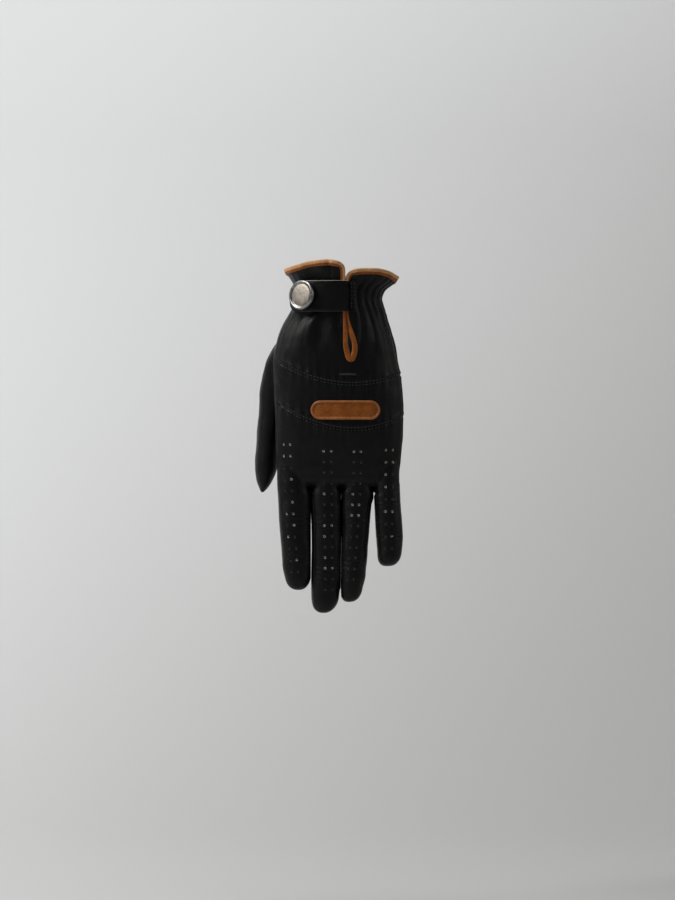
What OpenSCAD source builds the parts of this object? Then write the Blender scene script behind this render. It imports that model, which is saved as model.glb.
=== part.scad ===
// Left-hand golf glove in its worn shape, hanging with the fingers down.
// The origin is the middle of the cuff mouth. The back of the hand faces -Y, the thumb points to -X.
// "Drop" is a distance below the cuff mouth, so a point at drop d lies at z = -d.

/* [Hand] */
// Drop of the finger roots below the cuff mouth
hand_len = 142; // [134:1:150]
// Width of the flared cuff mouth
cuff_w = 73; // [66:1:80]
// Depth of the flared cuff mouth
cuff_depth = 50; // [46:1:56]
// Width of the drawn-in wrist
wrist_w = 54.6; // [50:0.2:58]
// Depth of the drawn-in wrist
wrist_depth = 40; // [37:0.5:43]
// Drop of the wrist, the narrowest place
wrist_drop = 18; // [16:0.5:20]
// Reach of the heel of the hand to the thumb side
heel_thumb_side = 43.4; // [41:0.2:45]
// Reach of the heel of the hand to the little finger side
heel_little_side = 37; // [34:0.5:40]
// Drop of the heel, where the thumb leaves
heel_drop = 60; // [56:1:64]
// Reach of the palm to the thumb side
palm_thumb_side = 42.2; // [40:0.2:44]
// Reach of the palm to the little finger side
palm_little_side = 41; // [38:0.5:44]
// Drop of the widest part of the palm
palm_drop = 97; // [92:1:102]
// Height of the back of the hand over the middle plane, at the palm
back_rise = 17; // [15:0.5:20]
// Depth of the palm under the middle plane
palm_rise = 18; // [16:0.5:20]
// Drop of the knuckles, where the four fingers start to show
knuckle_drop = 116; // [112:1:120]

/* [Leather] */
// Thickness of the glove leather
leather_t = 1; // [0.8:0.1:1.2]
// Gap left between two pieces at a seam
seam_gap = 0.2; // [0.15:0.05:0.3]
// Running gap between pieces that move
move_gap = 0.4; // [0.3:0.05:0.5]

/* [Fingers] */
// Width of the index finger sleeve
index_w = 20; // [18:0.2:21]
// Width of the middle finger sleeve
middle_w = 18.4; // [17:0.2:20]
// Width of the ring finger sleeve
ring_w = 19.8; // [18:0.2:21]
// Width of the little finger sleeve
little_w = 16.1; // [15:0.1:17.5]
// Length of the index finger from its root
index_len = 66; // [58:1:74]
// Length of the middle finger from its root
middle_len = 81; // [72:1:90]
// Length of the ring finger from its root
ring_len = 74; // [66:1:82]
// Length of the little finger from its root
little_len = 58; // [50:1:64]
// How much higher the little finger's root lies
little_rise = 7; // [4:0.5:9]
// Depth of the finger sleeves, back to palm
finger_depth = 17.6; // [16:0.2:19]
// Sideways place of the middle of the four fingers
finger_shift = -1.2; // [-2.5:0.1:0]
// Largest curl of a finger at its root, in degrees
finger_curl = 70; // [50:1:75]

/* [Thumb] */
// Width of the thumb sleeve
thumb_w = 14.6; // [13:0.2:16]
// Depth of the thumb sleeve, back to palm
thumb_depth = 19; // [17:0.2:20]
// Length of the thumb sleeve from its hinge
thumb_len = 38; // [34:1:44]
// Drop of the thumb hinge
thumb_drop = 108; // [106:0.5:111]
// Reach of the thumb's middle to the thumb side
thumb_side = 46; // [45.5:0.1:48]
// Reach of the thumb's middle to the palm side
thumb_palm_side = 17; // [16.5:0.1:19]
// Largest bend of the thumb, in degrees
thumb_bend = 45; // [30:1:50]

/* [Closure] */
// Sideways place of the slit in the back of the cuff
slit_x = 3.4; // [1:0.2:5]
// Drop of the round bottom of the keyhole
keyhole_drop = 61; // [57:0.5:61]
// Widest width of the keyhole, bindings included
keyhole_w = 10.8; // [9:0.2:13]
// Visible width of the tan binding
binding_w = 2.4; // [1.8:0.1:2.6]
// Thickness that the binding adds on each face of the leather
binding_t = 0.6; // [0.4:0.1:0.8]
// Height of the closing tab
tab_h = 20; // [17:0.5:22]
// Drop of the middle line of the tab
tab_drop = 19; // [18:0.5:20]
// Thickness of the tab
tab_t = 1.2; // [1:0.1:1.6]
// Diameter of the button cap
button_d = 19.2; // [16:0.2:20]
// Height of the button cap
button_h = 2.6; // [2:0.1:3.4]
// Place of the snap round the wrist, in degrees from the thumb side seam
snap_angle = 41; // [36:1:46]
// Radius of the snap stud at its foot
stud_r = 2.6; // [2.2:0.1:3]
// Height of the snap stud
stud_h = 1.5; // [1.3:0.1:1.6]

/* [Trim] */
// Length of the tan patch
patch_w = 45; // [38:0.5:48]
// Height of the tan patch
patch_h = 12.8; // [10:0.2:14]
// Thickness of the tan patch
patch_t = 1.2; // [0.8:0.1:1.6]
// Drop of the middle of the patch
patch_drop = 92.4; // [88:0.2:93]
// Diameter of the air holes in the fingers
hole_d = 1.5; // [1:0.1:1.8]
// Distance between two air holes along a finger
hole_pitch = 7.3; // [6.4:0.1:8]
// Distance between the two rows of air holes
hole_spread = 4.6; // [3.6:0.1:5.4]
// Length of one stitch
stitch_len = 2.2; // [1.6:0.1:2.6]
// Distance from one stitch to the next
stitch_pitch = 3.2; // [2.8:0.1:4]
// Thickness of the sewing thread
thread_d = 0.6; // [0.4:0.05:0.8]

/* [Hidden] */
$fn = 40;
black_leather = "#17181a";
black_side = "#202124";
tan_leather = "#9a5a24";
thread_black = "#2b2c2f";
silver = "#b9b8b2";
pearl = "#a9a49a";
elastic_grey = "#34363a";

// Roundness of the cross-sections: 2 is an ellipse, more is squarer
roundness = 2.3;
// How deep the valley between two fingers is at the roots, and how far above them it is complete
valley = 3.6;
valley_room = 5;
// Thickness of the hand at the finger roots, so that the sleeves fit inside it
root_depth = finger_depth + 2 * (leather_t + move_gap);
// How far the back of the hand reaches over a finger sleeve
root_cover = 4;
// How far the palm stops short of the finger hinge, so that the finger can curl
curl_room = (finger_depth / 2) * tan(finger_curl / 2) + 1.2;
// Reach of the sleeve's root, in degrees round its hinge
root_tongue = 50;
bend_room = (thumb_depth / 2) * tan(thumb_bend / 2) + 1.8;
thumb_cover = 3;

// Rim of the cuff: drops at the thumb seam, the slit's two corners, the little finger side
rim_thumb = 2;
rim_peak = -4;
rim_slit = 5.5;
rim_little_mid = 2;
rim_little = 6;

// Stitched seams across the back: lowest drop, place of the lowest point, curvature
upper_seam = [75.5, 8, 0.0062];
lower_seam = [105, 6, 0.0077];
seam_row = 1.7;

// The tab is folded at hinge_x, and stands off the bindings there and at the snap
hinge_x = slit_x + binding_w - 0.9;
tab_end_angle = snap_angle - 23;
hinge_stand = 0.8;
tab_stand = 1.4;
// Snap and button
button_bezel = 1.5;
inset_t = 0.65;
flange_r = 4;
flange_t = 0.5;
barrel_r = 1.5;
socket_r = stud_r + 0.9;
snap_clear = 0.15;
// How far the stud's side leans in over its height
stud_slope = 0.7;

// Small helpers
function lerp(a, b, t) = a + (b - a) * t;
function smooth(t) = let (c = max(0, min(1, t))) c * c * (3 - 2 * c);
function power(v, p) = sign(v) * pow(abs(v), p);
function arch(t) = pow(max(0, 1 - pow(min(1, abs(t)), roundness)), 1 / roundness);

// Smooth curve through stations [[place, value], ...]
function slope(st, i) =
    let (a = max(0, i - 1), b = min(len(st) - 1, i + 1))
    (st[b][1] - st[a][1]) / (st[b][0] - st[a][0]);
function curve(st, s) =
    s <= st[0][0] ? st[0][1]
    : s >= st[len(st) - 1][0] ? st[len(st) - 1][1]
    : let (
        i = max([for (k = [0 : len(st) - 2]) if (st[k][0] <= s) k]),
        span = st[i + 1][0] - st[i][0],
        t = (s - st[i][0]) / span,
        h = t * t * (3 - 2 * t),
        g0 = t * (1 - t) * (1 - t),
        g1 = t * t * (t - 1)
    ) lerp(st[i][1], st[i + 1][1], h) + span * (g0 * slope(st, i) + g1 * slope(st, i + 1));

// Fingers, from index to little. The lean of a tip is to the little finger side, and the taper is the
// share of its width that a sleeve loses on its way to the tip.
finger_w = [index_w, middle_w, ring_w, little_w];
finger_len = [index_len, middle_len, ring_len, little_len];
finger_lean = [1.2, 0, -1.2, 2.6];
finger_taper = [0.1, 0.03, 0.15, 0.02];
finger_drop = [hand_len, hand_len + 1, hand_len, hand_len - little_rise];
fingers_w = index_w + middle_w + ring_w + little_w + 3 * move_gap;
function finger_left(i) =
    i == 0 ? finger_shift - fingers_w / 2 : finger_left(i - 1) + finger_w[i - 1] + move_gap;
function finger_mid(i) = finger_left(i) + finger_w[i] / 2;
tip_round = 0.52;

// Hand outline: stations over the drop
wall = leather_t + move_gap;
root_left = finger_left(0) - wall;
root_right = finger_left(3) + little_w + wall;
flare_drop = wrist_drop * 0.45;
flare_w = lerp(wrist_w, cuff_w, 0.16) / 2;
flare_depth = lerp(wrist_depth, cuff_depth, 0.16) / 2;
left_edge = [
    [-8, -cuff_w / 2 - 2], [0, -cuff_w / 2], [flare_drop, -flare_w], [wrist_drop, -wrist_w / 2],
    [lerp(wrist_drop, heel_drop, 0.5), lerp(-wrist_w / 2, -heel_thumb_side, 0.69)],
    [heel_drop, -heel_thumb_side], [palm_drop, -palm_thumb_side], [hand_len, root_left]
];
right_edge = [
    [-8, cuff_w / 2 + 2], [0, cuff_w / 2], [flare_drop, flare_w], [wrist_drop, wrist_w / 2],
    [heel_drop, heel_little_side], [palm_drop, palm_little_side], [hand_len - 10, root_right],
    [hand_len, root_right]
];
back_depth = [
    [-8, cuff_depth / 2 + 2], [0, cuff_depth / 2], [flare_drop, flare_depth], [wrist_drop, wrist_depth / 2],
    [heel_drop, lerp(back_rise, wrist_depth / 2, 0.8)], [palm_drop, back_rise],
    [knuckle_drop, lerp(root_depth / 2, back_rise, 0.72)], [hand_len, root_depth / 2]
];
palm_depth = [
    [-8, cuff_depth / 2 + 2], [0, cuff_depth / 2], [flare_drop, flare_depth], [wrist_drop, wrist_depth / 2],
    [heel_drop, palm_rise + 3.5], [palm_drop, palm_rise],
    [knuckle_drop, lerp(root_depth / 2, palm_rise, 0.72)], [hand_len, root_depth / 2]
];

// A point of the hand: u runs from the thumb side (0) to the little finger side (1), e is how far
// the point lies under the outer face, and side is -1 on the back and 1 on the palm.
function finger_at(x) = max([for (i = [0 : 3]) if (i == 0 || x >= finger_left(i) - move_gap / 2) i]);
function hand_x(u, s, e) = lerp(curve(left_edge, s) + e, curve(right_edge, s) - e, u);
function lobe(u, e) =
    let (
        x = lerp(root_left, root_right, u),
        i = finger_at(x),
        t = (x - finger_mid(i)) / (finger_w[i] / 2),
        outer = (i == 0 && t < 0) || (i == 3 && t > 0),
        reach = 1 + wall / (finger_w[i] / 2)
    ) (root_depth / 2 - e) * (outer ? arch(t / reach) : 1)
        - (outer ? 0 : valley * pow(min(1, abs(t)), 3));
function hand_y(u, s, e, side) =
    let (
        depth = curve(side < 0 ? back_depth : palm_depth, s) - e,
        fingers = smooth((s - knuckle_drop) / (root_line(u) - valley_room - knuckle_drop))
    ) lerp(depth * arch(2 * u - 1), lobe(u, e), fingers);
function hand(u, s, e, side) =
    [hand_x(u, s, e), side * (hand_y(u, s, e, side) + seam_gap / 2), -s];
function u_of(x, s) = (x - curve(left_edge, s)) / (curve(right_edge, s) - curve(left_edge, s));
function u_of_angle(a) = (1 - cos(a)) / 2;

// Places across the hand that fall on the fingers' middles and valleys
finger_steps = [
    [-1, -0.97, -0.88, -0.7, -0.4, 0, 0.45, 0.8], [-1, -0.6, 0, 0.6], [-1, -0.6, 0, 0.6],
    [-1, -0.8, -0.45, 0, 0.4, 0.7, 0.88, 0.97, 1]
];
function step_x(i, t) =
    let (
        outer = (i == 0 && t < 0) || (i == 3 && t > 0),
        valley_side = i > 0 && t == -1
    ) finger_mid(i) + t * (finger_w[i] / 2 + (outer ? wall : 0)) - (valley_side ? move_gap / 2 : 0);
hand_us = [
    for (i = [0 : 3], t = finger_steps[i]) (step_x(i, t) - root_left) / (root_right - root_left)
];
function root_line(u) =
    curve([for (i = [0 : 3]) [finger_mid(i), finger_drop[i]]], lerp(root_left, root_right, u));

// Rim of the cuff and seams, as drops
function rim_back_left(v) = lerp(rim_thumb, rim_peak, smooth(v));
function rim_back_right(v) =
    v < 0.4 ? lerp(rim_slit, rim_little_mid, smooth(v / 0.4))
    : lerp(rim_little_mid, rim_little, smooth((v - 0.6) / 0.4));
function rim_palm(u) = lerp(rim_thumb, rim_little, u);
function seam_drop(seam, x) = seam[0] - seam[2] * (x - seam[1]) * (x - seam[1]);

// The slit with its keyhole: middle line and half width, bindings included
keyhole_top = tab_drop + tab_h / 2 + 1;
keyhole_wide = keyhole_drop - 12;
keyhole_lean = 4.2;
slit_half = binding_w + seam_gap;
function slit_mid(s) =
    slit_x + keyhole_lean * smooth((s - keyhole_top + 2) / (keyhole_drop - keyhole_top));
function slit_w(s) =
    s <= keyhole_wide
        ? lerp(slit_half, keyhole_w / 2, smooth((s - keyhole_top) / (keyhole_wide - keyhole_top)))
        : keyhole_w / 2 * sqrt(max(0, 1 - pow((s - keyhole_wide) / (keyhole_drop - keyhole_wide), 2)));

// A leather sheet from a grid of outer points and a grid of inner points. With slit = [column, rows],
// the sheet is cut open after that column, over the first rows.
module sheet(outer, inner, flip = false, slit = [-1, 0]) {
    rows = len(outer);
    cols = len(outer[0]);
    n = rows * cols;
    function at(i, j) = i * cols + ((j == slit[0] + 1 && i >= slit[1] && slit[0] >= 0) ? slit[0] : j);
    across = [for (j = [0 : cols - 2]) if (j != slit[0]) j];
    sides = concat(
        [for (i = [0 : rows - 2]) [i, 0, 1]], [for (i = [0 : rows - 2]) [i, cols - 1, -1]],
        slit[0] < 0 ? []
        : [for (i = [0 : slit[1] - 1], c = [[slit[0], -1], [slit[0] + 1, 1]]) [i, c[0], c[1]]]
    );
    quads = concat(
        [for (i = [0 : rows - 2], j = across) [at(i, j), at(i, j + 1), at(i + 1, j + 1), at(i + 1, j)]],
        [for (i = [0 : rows - 2], j = across)
            [n + at(i, j), n + at(i + 1, j), n + at(i + 1, j + 1), n + at(i, j + 1)]],
        [for (j = across) [at(0, j), n + at(0, j), n + at(0, j + 1), at(0, j + 1)]],
        [for (j = across)
            [at(rows - 1, j), at(rows - 1, j + 1), n + at(rows - 1, j + 1), n + at(rows - 1, j)]],
        [for (q = sides) q[2] > 0
            ? [at(q[0], q[1]), at(q[0] + 1, q[1]), n + at(q[0] + 1, q[1]), n + at(q[0], q[1])]
            : [at(q[0], q[1]), n + at(q[0], q[1]), n + at(q[0] + 1, q[1]), at(q[0] + 1, q[1])]]
    );
    points = concat([for (r = outer) each r], [for (r = inner) each r]);
    polyhedron(points, [
        for (q = quads, t = [[0, 1, 2], [0, 2, 3]])
            flip ? [q[t[2]], q[t[1]], q[t[0]]] : [q[t[0]], q[t[1]], q[t[2]]]
    ], convexity = 8);
}

// A solid of closed rings, from the first ring to the last, with flat ends
module rings(grid) {
    rows = len(grid);
    cols = len(grid[0]);
    polyhedron([for (r = grid) each r], concat(
        [for (i = [0 : rows - 2], j = [0 : cols - 1], k = [0, 1])
            let (a = i * cols + j, b = i * cols + (j + 1) % cols)
            k == 0 ? [a, b, b + cols] : [a, b + cols, a + cols]],
        [[for (j = [cols - 1 : -1 : 0]) j], [for (j = [0 : cols - 1]) (rows - 1) * cols + j]]
    ), convexity = 8);
}

// A stitch laid from one point to another
module stitch(p, q) {
    d = q - p;
    long = norm(d);
    translate(p) rotate([0, acos(d[2] / long), atan2(d[1], d[0])])
        cylinder(h = long, d = thread_d, $fn = 13);
}

// Hand panels. Each row runs from the thumb side to the little finger side.
module back_panel(top, bottom, rows) {
    function at(e) = [
        for (i = [0 : rows]) [
            for (u = hand_us)
                hand(u, lerp(top(u) + seam_gap / 2, bottom(u) - seam_gap / 2, i / rows), e, -1)
        ]
    ];
    sheet(at(0), at(leather_t));
}
function hand_seam(seam, u) =
    seam_drop(seam, hand_x(u, seam[0], 0));

// Rows of the cuff panel: down the slit to the keyhole's bottom, then on to the seam
slit_steps = 18;
low_steps = 2;
panel_steps = 11;
keyhole_u = u_of(slit_mid(keyhole_drop), keyhole_drop);
keyhole_seam = hand_seam(upper_seam, keyhole_u);
function cuff_level(i, rim, seam) =
    let (foot = keyhole_drop - 0.8 * (keyhole_seam - seam))
    i <= slit_steps ? lerp(rim, foot, (i / slit_steps + sin(90 * i / slit_steps)) / 2)
    : lerp(foot, seam - seam_gap / 2, (i - slit_steps) / low_steps);
function slit_level(i, right) =
    cuff_level(i, (right ? rim_back_right(0) : rim_back_left(1)) + seam_gap / 2, keyhole_seam);
module cuff_back_panel() {
    function point(i, k, right, e) =
        let (
            t = right ? sin(90 * k / panel_steps) : 1 - cos(90 * k / panel_steps),
            rim = (right ? rim_back_right(t) : rim_back_left(t)) + seam_gap / 2,
            seam = hand_seam(upper_seam, right ? lerp(keyhole_u, 1, t) : lerp(0, keyhole_u, t)),
            s = cuff_level(i, rim, seam),
            d = slit_level(i, right),
            edge = i >= slit_steps ? keyhole_u : u_of(slit_mid(d) + (right ? 1 : -1) * slit_w(d), d)
        ) hand(right ? lerp(edge, 1, t) : lerp(0, edge, t), s, e, -1);
    function at(e) = [
        for (i = [0 : slit_steps + low_steps]) concat(
            [for (k = [0 : panel_steps]) point(i, k, false, e)],
            [for (k = [0 : panel_steps]) point(i, k, true, e)]
        )
    ];
    color(black_leather) difference() {
        sheet(at(0), at(leather_t), slit = [panel_steps, slit_steps]);
        on_snap(-leather_t - 2) cylinder(h = leather_t + 4, r = barrel_r + snap_clear);
    }
}

module band_back_panel() {
    color(black_leather)
        back_panel(function(u) hand_seam(upper_seam, u), function(u) hand_seam(lower_seam, u), 5);
}

module knuckle_back_panel() {
    color(black_leather) difference() {
        back_panel(function(u) hand_seam(lower_seam, u), function(u) root_line(u) + root_cover, 8);
        for (i = [0 : 3]) air_holes(i, knuckle_drop, finger_drop[i] + root_cover - hole_root_room);
    }
}

// Two rows of air holes over finger i, between two drops. They stay clear of the roots and the tips.
hole_root_room = 2.2;
hole_tip_room = 11;
module air_holes(i, from, to) {
    for (k = [0 : floor((to - knuckle_drop) / hole_pitch)], side = [-1, 1]) {
        s = knuckle_drop + k * hole_pitch;
        if (s >= from)
            translate([finger_axis(i, s - finger_drop[i]) + side * hole_spread / 2, 0, -s])
                rotate([90, 0, 0]) cylinder(h = back_rise + 10, d = hole_d, $fn = 16);
    }
}

module palm_panel() {
    rows = 19;
    function at(e) = [
        for (i = [0 : rows]) [
            for (u = hand_us)
                let (s = lerp(rim_palm(u) + seam_gap / 2, root_line(u) - curl_room, pow(i / rows, 1.35)))
                hand(u, s, e, 1)
        ]
    ];
    color(black_leather) difference() {
        sheet(at(0), at(leather_t), flip = true);
        rings(thumb_root_rings(-seam_gap));
    }
}

// The thumb's gusset: a tube that leaves the heel of the hand and ends in a ring at the thumb hinge
gusset_w = thumb_w + 2 * wall;
gusset_depth = thumb_depth + 2 * wall;
gusset_top = heel_drop - 9;
gusset_x = [
    [gusset_top, -heel_thumb_side + 16.5], [heel_drop + 2, -heel_thumb_side + 11.6],
    [heel_drop + 16, -heel_thumb_side + 6], [thumb_drop - 13, -thumb_side + 2.4], [thumb_drop, -thumb_side]
];
gusset_y = [
    [gusset_top, 7], [heel_drop + 2, 10], [heel_drop + 16, 12.8],
    [thumb_drop - 13, thumb_palm_side - 1.6], [thumb_drop, thumb_palm_side]
];
gusset_half_w = [
    [gusset_top, 14], [heel_drop + 2, 14.4], [heel_drop + 16, 13.2],
    [thumb_drop - 13, gusset_w / 2 + 1.2], [thumb_drop, gusset_w / 2]
];
gusset_half_d = [
    [gusset_top, 10], [heel_drop + 2, 12.4], [heel_drop + 16, 12.8],
    [thumb_drop - 13, gusset_depth / 2 + 0.8], [thumb_drop, gusset_depth / 2]
];
gusset_sides = 28;
gusset_rows = 11;
function gusset_end(a) = thumb_drop + lerp(thumb_cover, -bend_room, (1 + sin(a)) / 2);
function gusset_point(a, s, e) = [
    curve(gusset_x, s) + (curve(gusset_half_w, s) - e) * power(cos(a), 2 / roundness),
    curve(gusset_y, s) + (curve(gusset_half_d, s) - e) * power(sin(a), 2 / roundness), -s
];
function thumb_root_rings(e) = [
    for (i = [0 : gusset_rows]) [
        for (j = [0 : gusset_sides - 1])
            let (a = 360 * j / gusset_sides)
            gusset_point(a, lerp(gusset_top, gusset_end(a), i / gusset_rows), e)
    ]
];
module hand_solid(e) {
    rows = 9;
    from = gusset_top - 12;
    to = hand_len - 14;
    rings([
        for (i = [0 : rows]) let (s = lerp(from, to, i / rows)) concat(
            [for (u = hand_us) hand(u, s, e, -1)],
            [for (k = [len(hand_us) - 1 : -1 : 0]) hand(hand_us[k], s, e, 1)]
        )
    ]);
}
module thumb_gusset() {
    color(black_leather) difference() {
        rings(thumb_root_rings(0));
        rings([
            for (i = [0 : gusset_rows]) [
                for (j = [0 : gusset_sides - 1])
                    let (
                        a = 360 * j / gusset_sides,
                        below = i == gusset_rows ? 2 : 0,
                        above = i == 0 ? 2 : 0
                    )
                    gusset_point(a, lerp(gusset_top, gusset_end(a), i / gusset_rows), leather_t)
                        + [0, 0, above - below]
            ]
        ]);
        hand_solid(-seam_gap);
    }
}

// Sleeves of the fingers and the thumb. A sleeve is [middle x, middle y, drop, width, depth, length,
// lean, round length of the tip, width of the tip's seam, taper].
function finger_sleeve(i) = [
    finger_mid(i), 0, finger_drop[i], finger_w[i], finger_depth, finger_len[i], finger_lean[i],
    finger_w[i] * tip_round, 0.4, finger_taper[i]
];
thumb_lean = -4.2;
thumb_tip = 18;
thumb_taper = 0.07;
thumb_sleeve = [
    -thumb_side, thumb_palm_side, thumb_drop, thumb_w, thumb_depth, thumb_len, thumb_lean, thumb_tip,
    0.25, thumb_taper
];
function finger_axis(i, q) = finger_mid(i) + finger_lean[i] * max(0, q) / finger_len[i];
function sleeve_point(f, a, q, e) =
    let (
        long = f[5] - e,
        t = max(0, min(1, (q - (long - f[7])) / f[7])),
        narrow = 1 - f[9] * q / f[5],
        half_w = (f[3] / 2 * narrow - e) * sqrt(1 - (1 - f[8] * f[8]) * t * t),
        half_d = max(seam_gap / 2, (f[4] / 2 * (narrow + 1) / 2 - e) * sqrt(max(0, 1 - t * t)))
    ) [
        f[0] + f[6] * q / f[5] + half_w * power(cos(a), 2 / roundness),
        f[1] + half_d * power(sin(a), 2 / roundness), -f[2] - q
    ];
// Stations along a sleeve: the straight length, then the round tip
straight_steps = 7;
function sleeve_places(f, e) = concat(
    [for (k = [0 : straight_steps]) (f[5] - e - f[7]) * k / straight_steps],
    [for (t = [0.35, 0.62, 0.82, 0.95, 1]) f[5] - e - f[7] + f[7] * t]
);
// Half angle of a fourchette, the strip in the side of a finger: it runs to a point near the tip
fourchette_angle = 40;
fourchette_rows = straight_steps + 3;
function side_angle(k) = fourchette_angle * (1 - smooth((k - straight_steps + 2.5) / 5));
function seam_angle(f) = seam_gap / f[3] * 180 / PI * 1.6;
// Back or palm strip of a sleeve: side -1 is the back, 1 the palm; sewn says which edges have a fourchette
strip_steps = 8;
module strip(f, side, sewn) {
    tongues = 4;
    function edge(k, s) = seam_angle(f) + (sewn[s] && k < fourchette_rows ? side_angle(k) : 0);
    function angle(k, j) = lerp(180 - edge(k, 0), edge(k, 1), j / strip_steps) * side;
    function root(j, i, e) =
        let (
            p = sleeve_point(f, angle(0, j), 0, e),
            turn = root_tongue * (tongues - i) / tongues,
            r = p[1] - f[1]
        ) [p[0], f[1] + r * cos(turn), p[2] + abs(r) * sin(turn)];
    function at(e) = let (qs = sleeve_places(f, e)) concat(
        [for (i = [0 : tongues - 1]) [for (j = [0 : strip_steps]) root(j, i, e)]],
        [for (k = [0 : len(qs) - 1]) [for (j = [0 : strip_steps]) sleeve_point(f, angle(k, j), qs[k], e)]]
    );
    translate([0, side * seam_gap / 4, 0]) sheet(at(0), at(leather_t), flip = side > 0);
}
// Side strip of a sleeve: side -1 is the thumb side, 1 the little finger side
module fourchette(f, side) {
    cols = 5;
    function at(e) = let (qs = sleeve_places(f, e)) [
        for (k = [0 : fourchette_rows - 1]) [
            for (j = [0 : cols])
                let (
                    reach = side_angle(k) - seam_angle(f) / 2,
                    a = lerp(-reach, reach, j / cols)
                ) sleeve_point(f, side > 0 ? a : 180 - a, qs[k], e)
        ]
    ];
    sheet(at(0), at(leather_t), flip = side < 0);
}
sewn_sides = [[false, true], [true, true], [true, true], [true, false]];
module finger_back(i) {
    color(black_leather) difference() {
        strip(finger_sleeve(i), -1, sewn_sides[i]);
        air_holes(
            i, finger_drop[i] + root_cover + hole_root_room, finger_drop[i] + finger_len[i] - hole_tip_room
        );
    }
}
module finger_palm(i) {
    color(black_leather) strip(finger_sleeve(i), 1, sewn_sides[i]);
}
module finger_fourchette(i, side) {
    color(black_side) fourchette(finger_sleeve(i), side);
}
module thumb_back() {
    color(black_leather) strip(thumb_sleeve, -1, [false, false]);
}
module thumb_palm() {
    color(black_leather) strip(thumb_sleeve, 1, [false, false]);
}

// Cuff trim. A path round the cuff: back right, little finger side, palm, thumb side, back left.
function cuff_path() = concat(
    [for (k = [0 : panel_steps]) let (t = sin(90 * k / panel_steps)) [t, "right"]],
    [for (k = [1 : 2 * panel_steps - 1]) [u_of_angle(180 - 90 * k / panel_steps), "palm"]],
    [for (k = [0 : panel_steps]) let (t = 1 - cos(90 * k / panel_steps)) [t, "left"]]
);
function cuff_rim(place) =
    place[1] == "palm" ? rim_palm(place[0])
    : place[1] == "right" ? rim_back_right(place[0]) : rim_back_left(place[0]);
function cuff_u(place, s, from) =
    place[1] == "palm" ? place[0]
    : let (edge = u_of(slit_mid(s) + (place[1] == "right" ? from : -from), s))
        place[1] == "right" ? lerp(edge, 1, place[0]) : lerp(0, edge, place[0]);
function cuff_point(place, s, e, from) = hand(cuff_u(place, s, from), s, e, place[1] == "palm" ? 1 : -1);

module cuff_binding() {
    path = cuff_path();
    function at(e) = [
        for (h = [binding_w, 0])
            [for (p = path) cuff_point(p, cuff_rim(p) - h - seam_gap / 2, e, slit_half)]
    ];
    color(tan_leather) sheet(at(-binding_t), at(leather_t + binding_t));
}

module wrist_elastic() {
    elastic_h = 8;
    elastic_t = 0.8;
    under = leather_t + 0.4;
    side_u = 0.02;
    back_u = 0.3;
    path = [
        for (p = cuff_path())
            if ((p[1] == "palm" && p[0] > side_u) || (p[1] == "right" && p[0] > back_u)) p
    ];
    function at(e) = [
        for (h = [-elastic_h / 2, 0, elastic_h / 2])
            [for (p = path) cuff_point(p, wrist_drop + h, e, slit_half)]
    ];
    color(elastic_grey) sheet(at(under), at(under + elastic_t));
}

// Binding of the slit: down its thumb side edge, round the keyhole and up again
module placket_binding() {
    function edge_point(s, side, in, e) =
        let (
            long = keyhole_drop - keyhole_wide,
            turn = asin(max(0, min(1, (s - keyhole_wide) / long))),
            drop = s <= keyhole_wide ? s : keyhole_wide + (long - seam_gap - in) * sin(turn),
            half = s <= keyhole_wide ? slit_w(s) - seam_gap - in
                : (keyhole_w / 2 - seam_gap - in) * cos(turn)
        ) hand(u_of(slit_mid(drop) + side * half, drop), drop, e, -1);
    down = concat([rim_back_left(1) - binding_w], [for (i = [0 : slit_steps]) slit_level(i, false)]);
    up = concat([for (i = [slit_steps - 1 : -1 : 0]) slit_level(i, true)], [rim_back_right(0) - binding_w]);
    path = concat([for (s = down) [s, -1]], [for (s = up) [s, 1]]);
    function at(e) = [
        for (p = path) [for (in = [0, binding_w - seam_gap]) edge_point(p[0], p[1], in, e)]
    ];
    color(tan_leather) sheet(at(-binding_t), at(leather_t + binding_t));
}

// The tab with its snap
hinge_u = u_of(hinge_x, tab_drop);
hinge_angle = acos(1 - 2 * hinge_u);
// The tab is straight from its upper edge to its lower edge, and bent only round the wrist.
// It is upright at its fold and leans with the cuff at the snap, where it stands off more.
function tab_point(a, s, e) =
    let (
        near = smooth((hinge_angle - a) / (hinge_angle - snap_angle)),
        off = binding_t + move_gap + e + lerp(hinge_stand, tab_stand, near),
        top = hand(u_of_angle(a), tab_drop - tab_h / 2, -off, -1),
        low = hand(u_of_angle(a), tab_drop + tab_h / 2, -off, -1),
        upright = hand(u_of_angle(a), tab_drop, -off, -1),
        leaning = lerp(top, low, (s - tab_drop) / tab_h + 0.5)
    ) lerp([upright[0], upright[1], -s], leaning, near);
function tab_half(a) =
    a >= snap_angle ? tab_h / 2
    : tab_h / 2 * sqrt(max(0.01, 1 - pow((snap_angle - a) / (snap_angle - tab_end_angle), 2)));
module tab_strap() {
    cols = 16;
    rows = 6;
    function at(e) = [
        for (i = [0 : rows]) [
            for (j = [0 : cols])
                let (
                    a = lerp(tab_end_angle + 0.4, hinge_angle, sin(90 * j / cols)),
                    s = tab_drop + lerp(-1, 1, i / rows) * tab_half(a)
                ) tab_point(a, s, e)
        ]
    ];
    color(black_leather) difference() {
        sheet(at(tab_t), at(0));
        on_snap(0) cylinder(h = tab_lift + tab_t + 6, r = barrel_r + snap_clear);
    }
}
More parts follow.
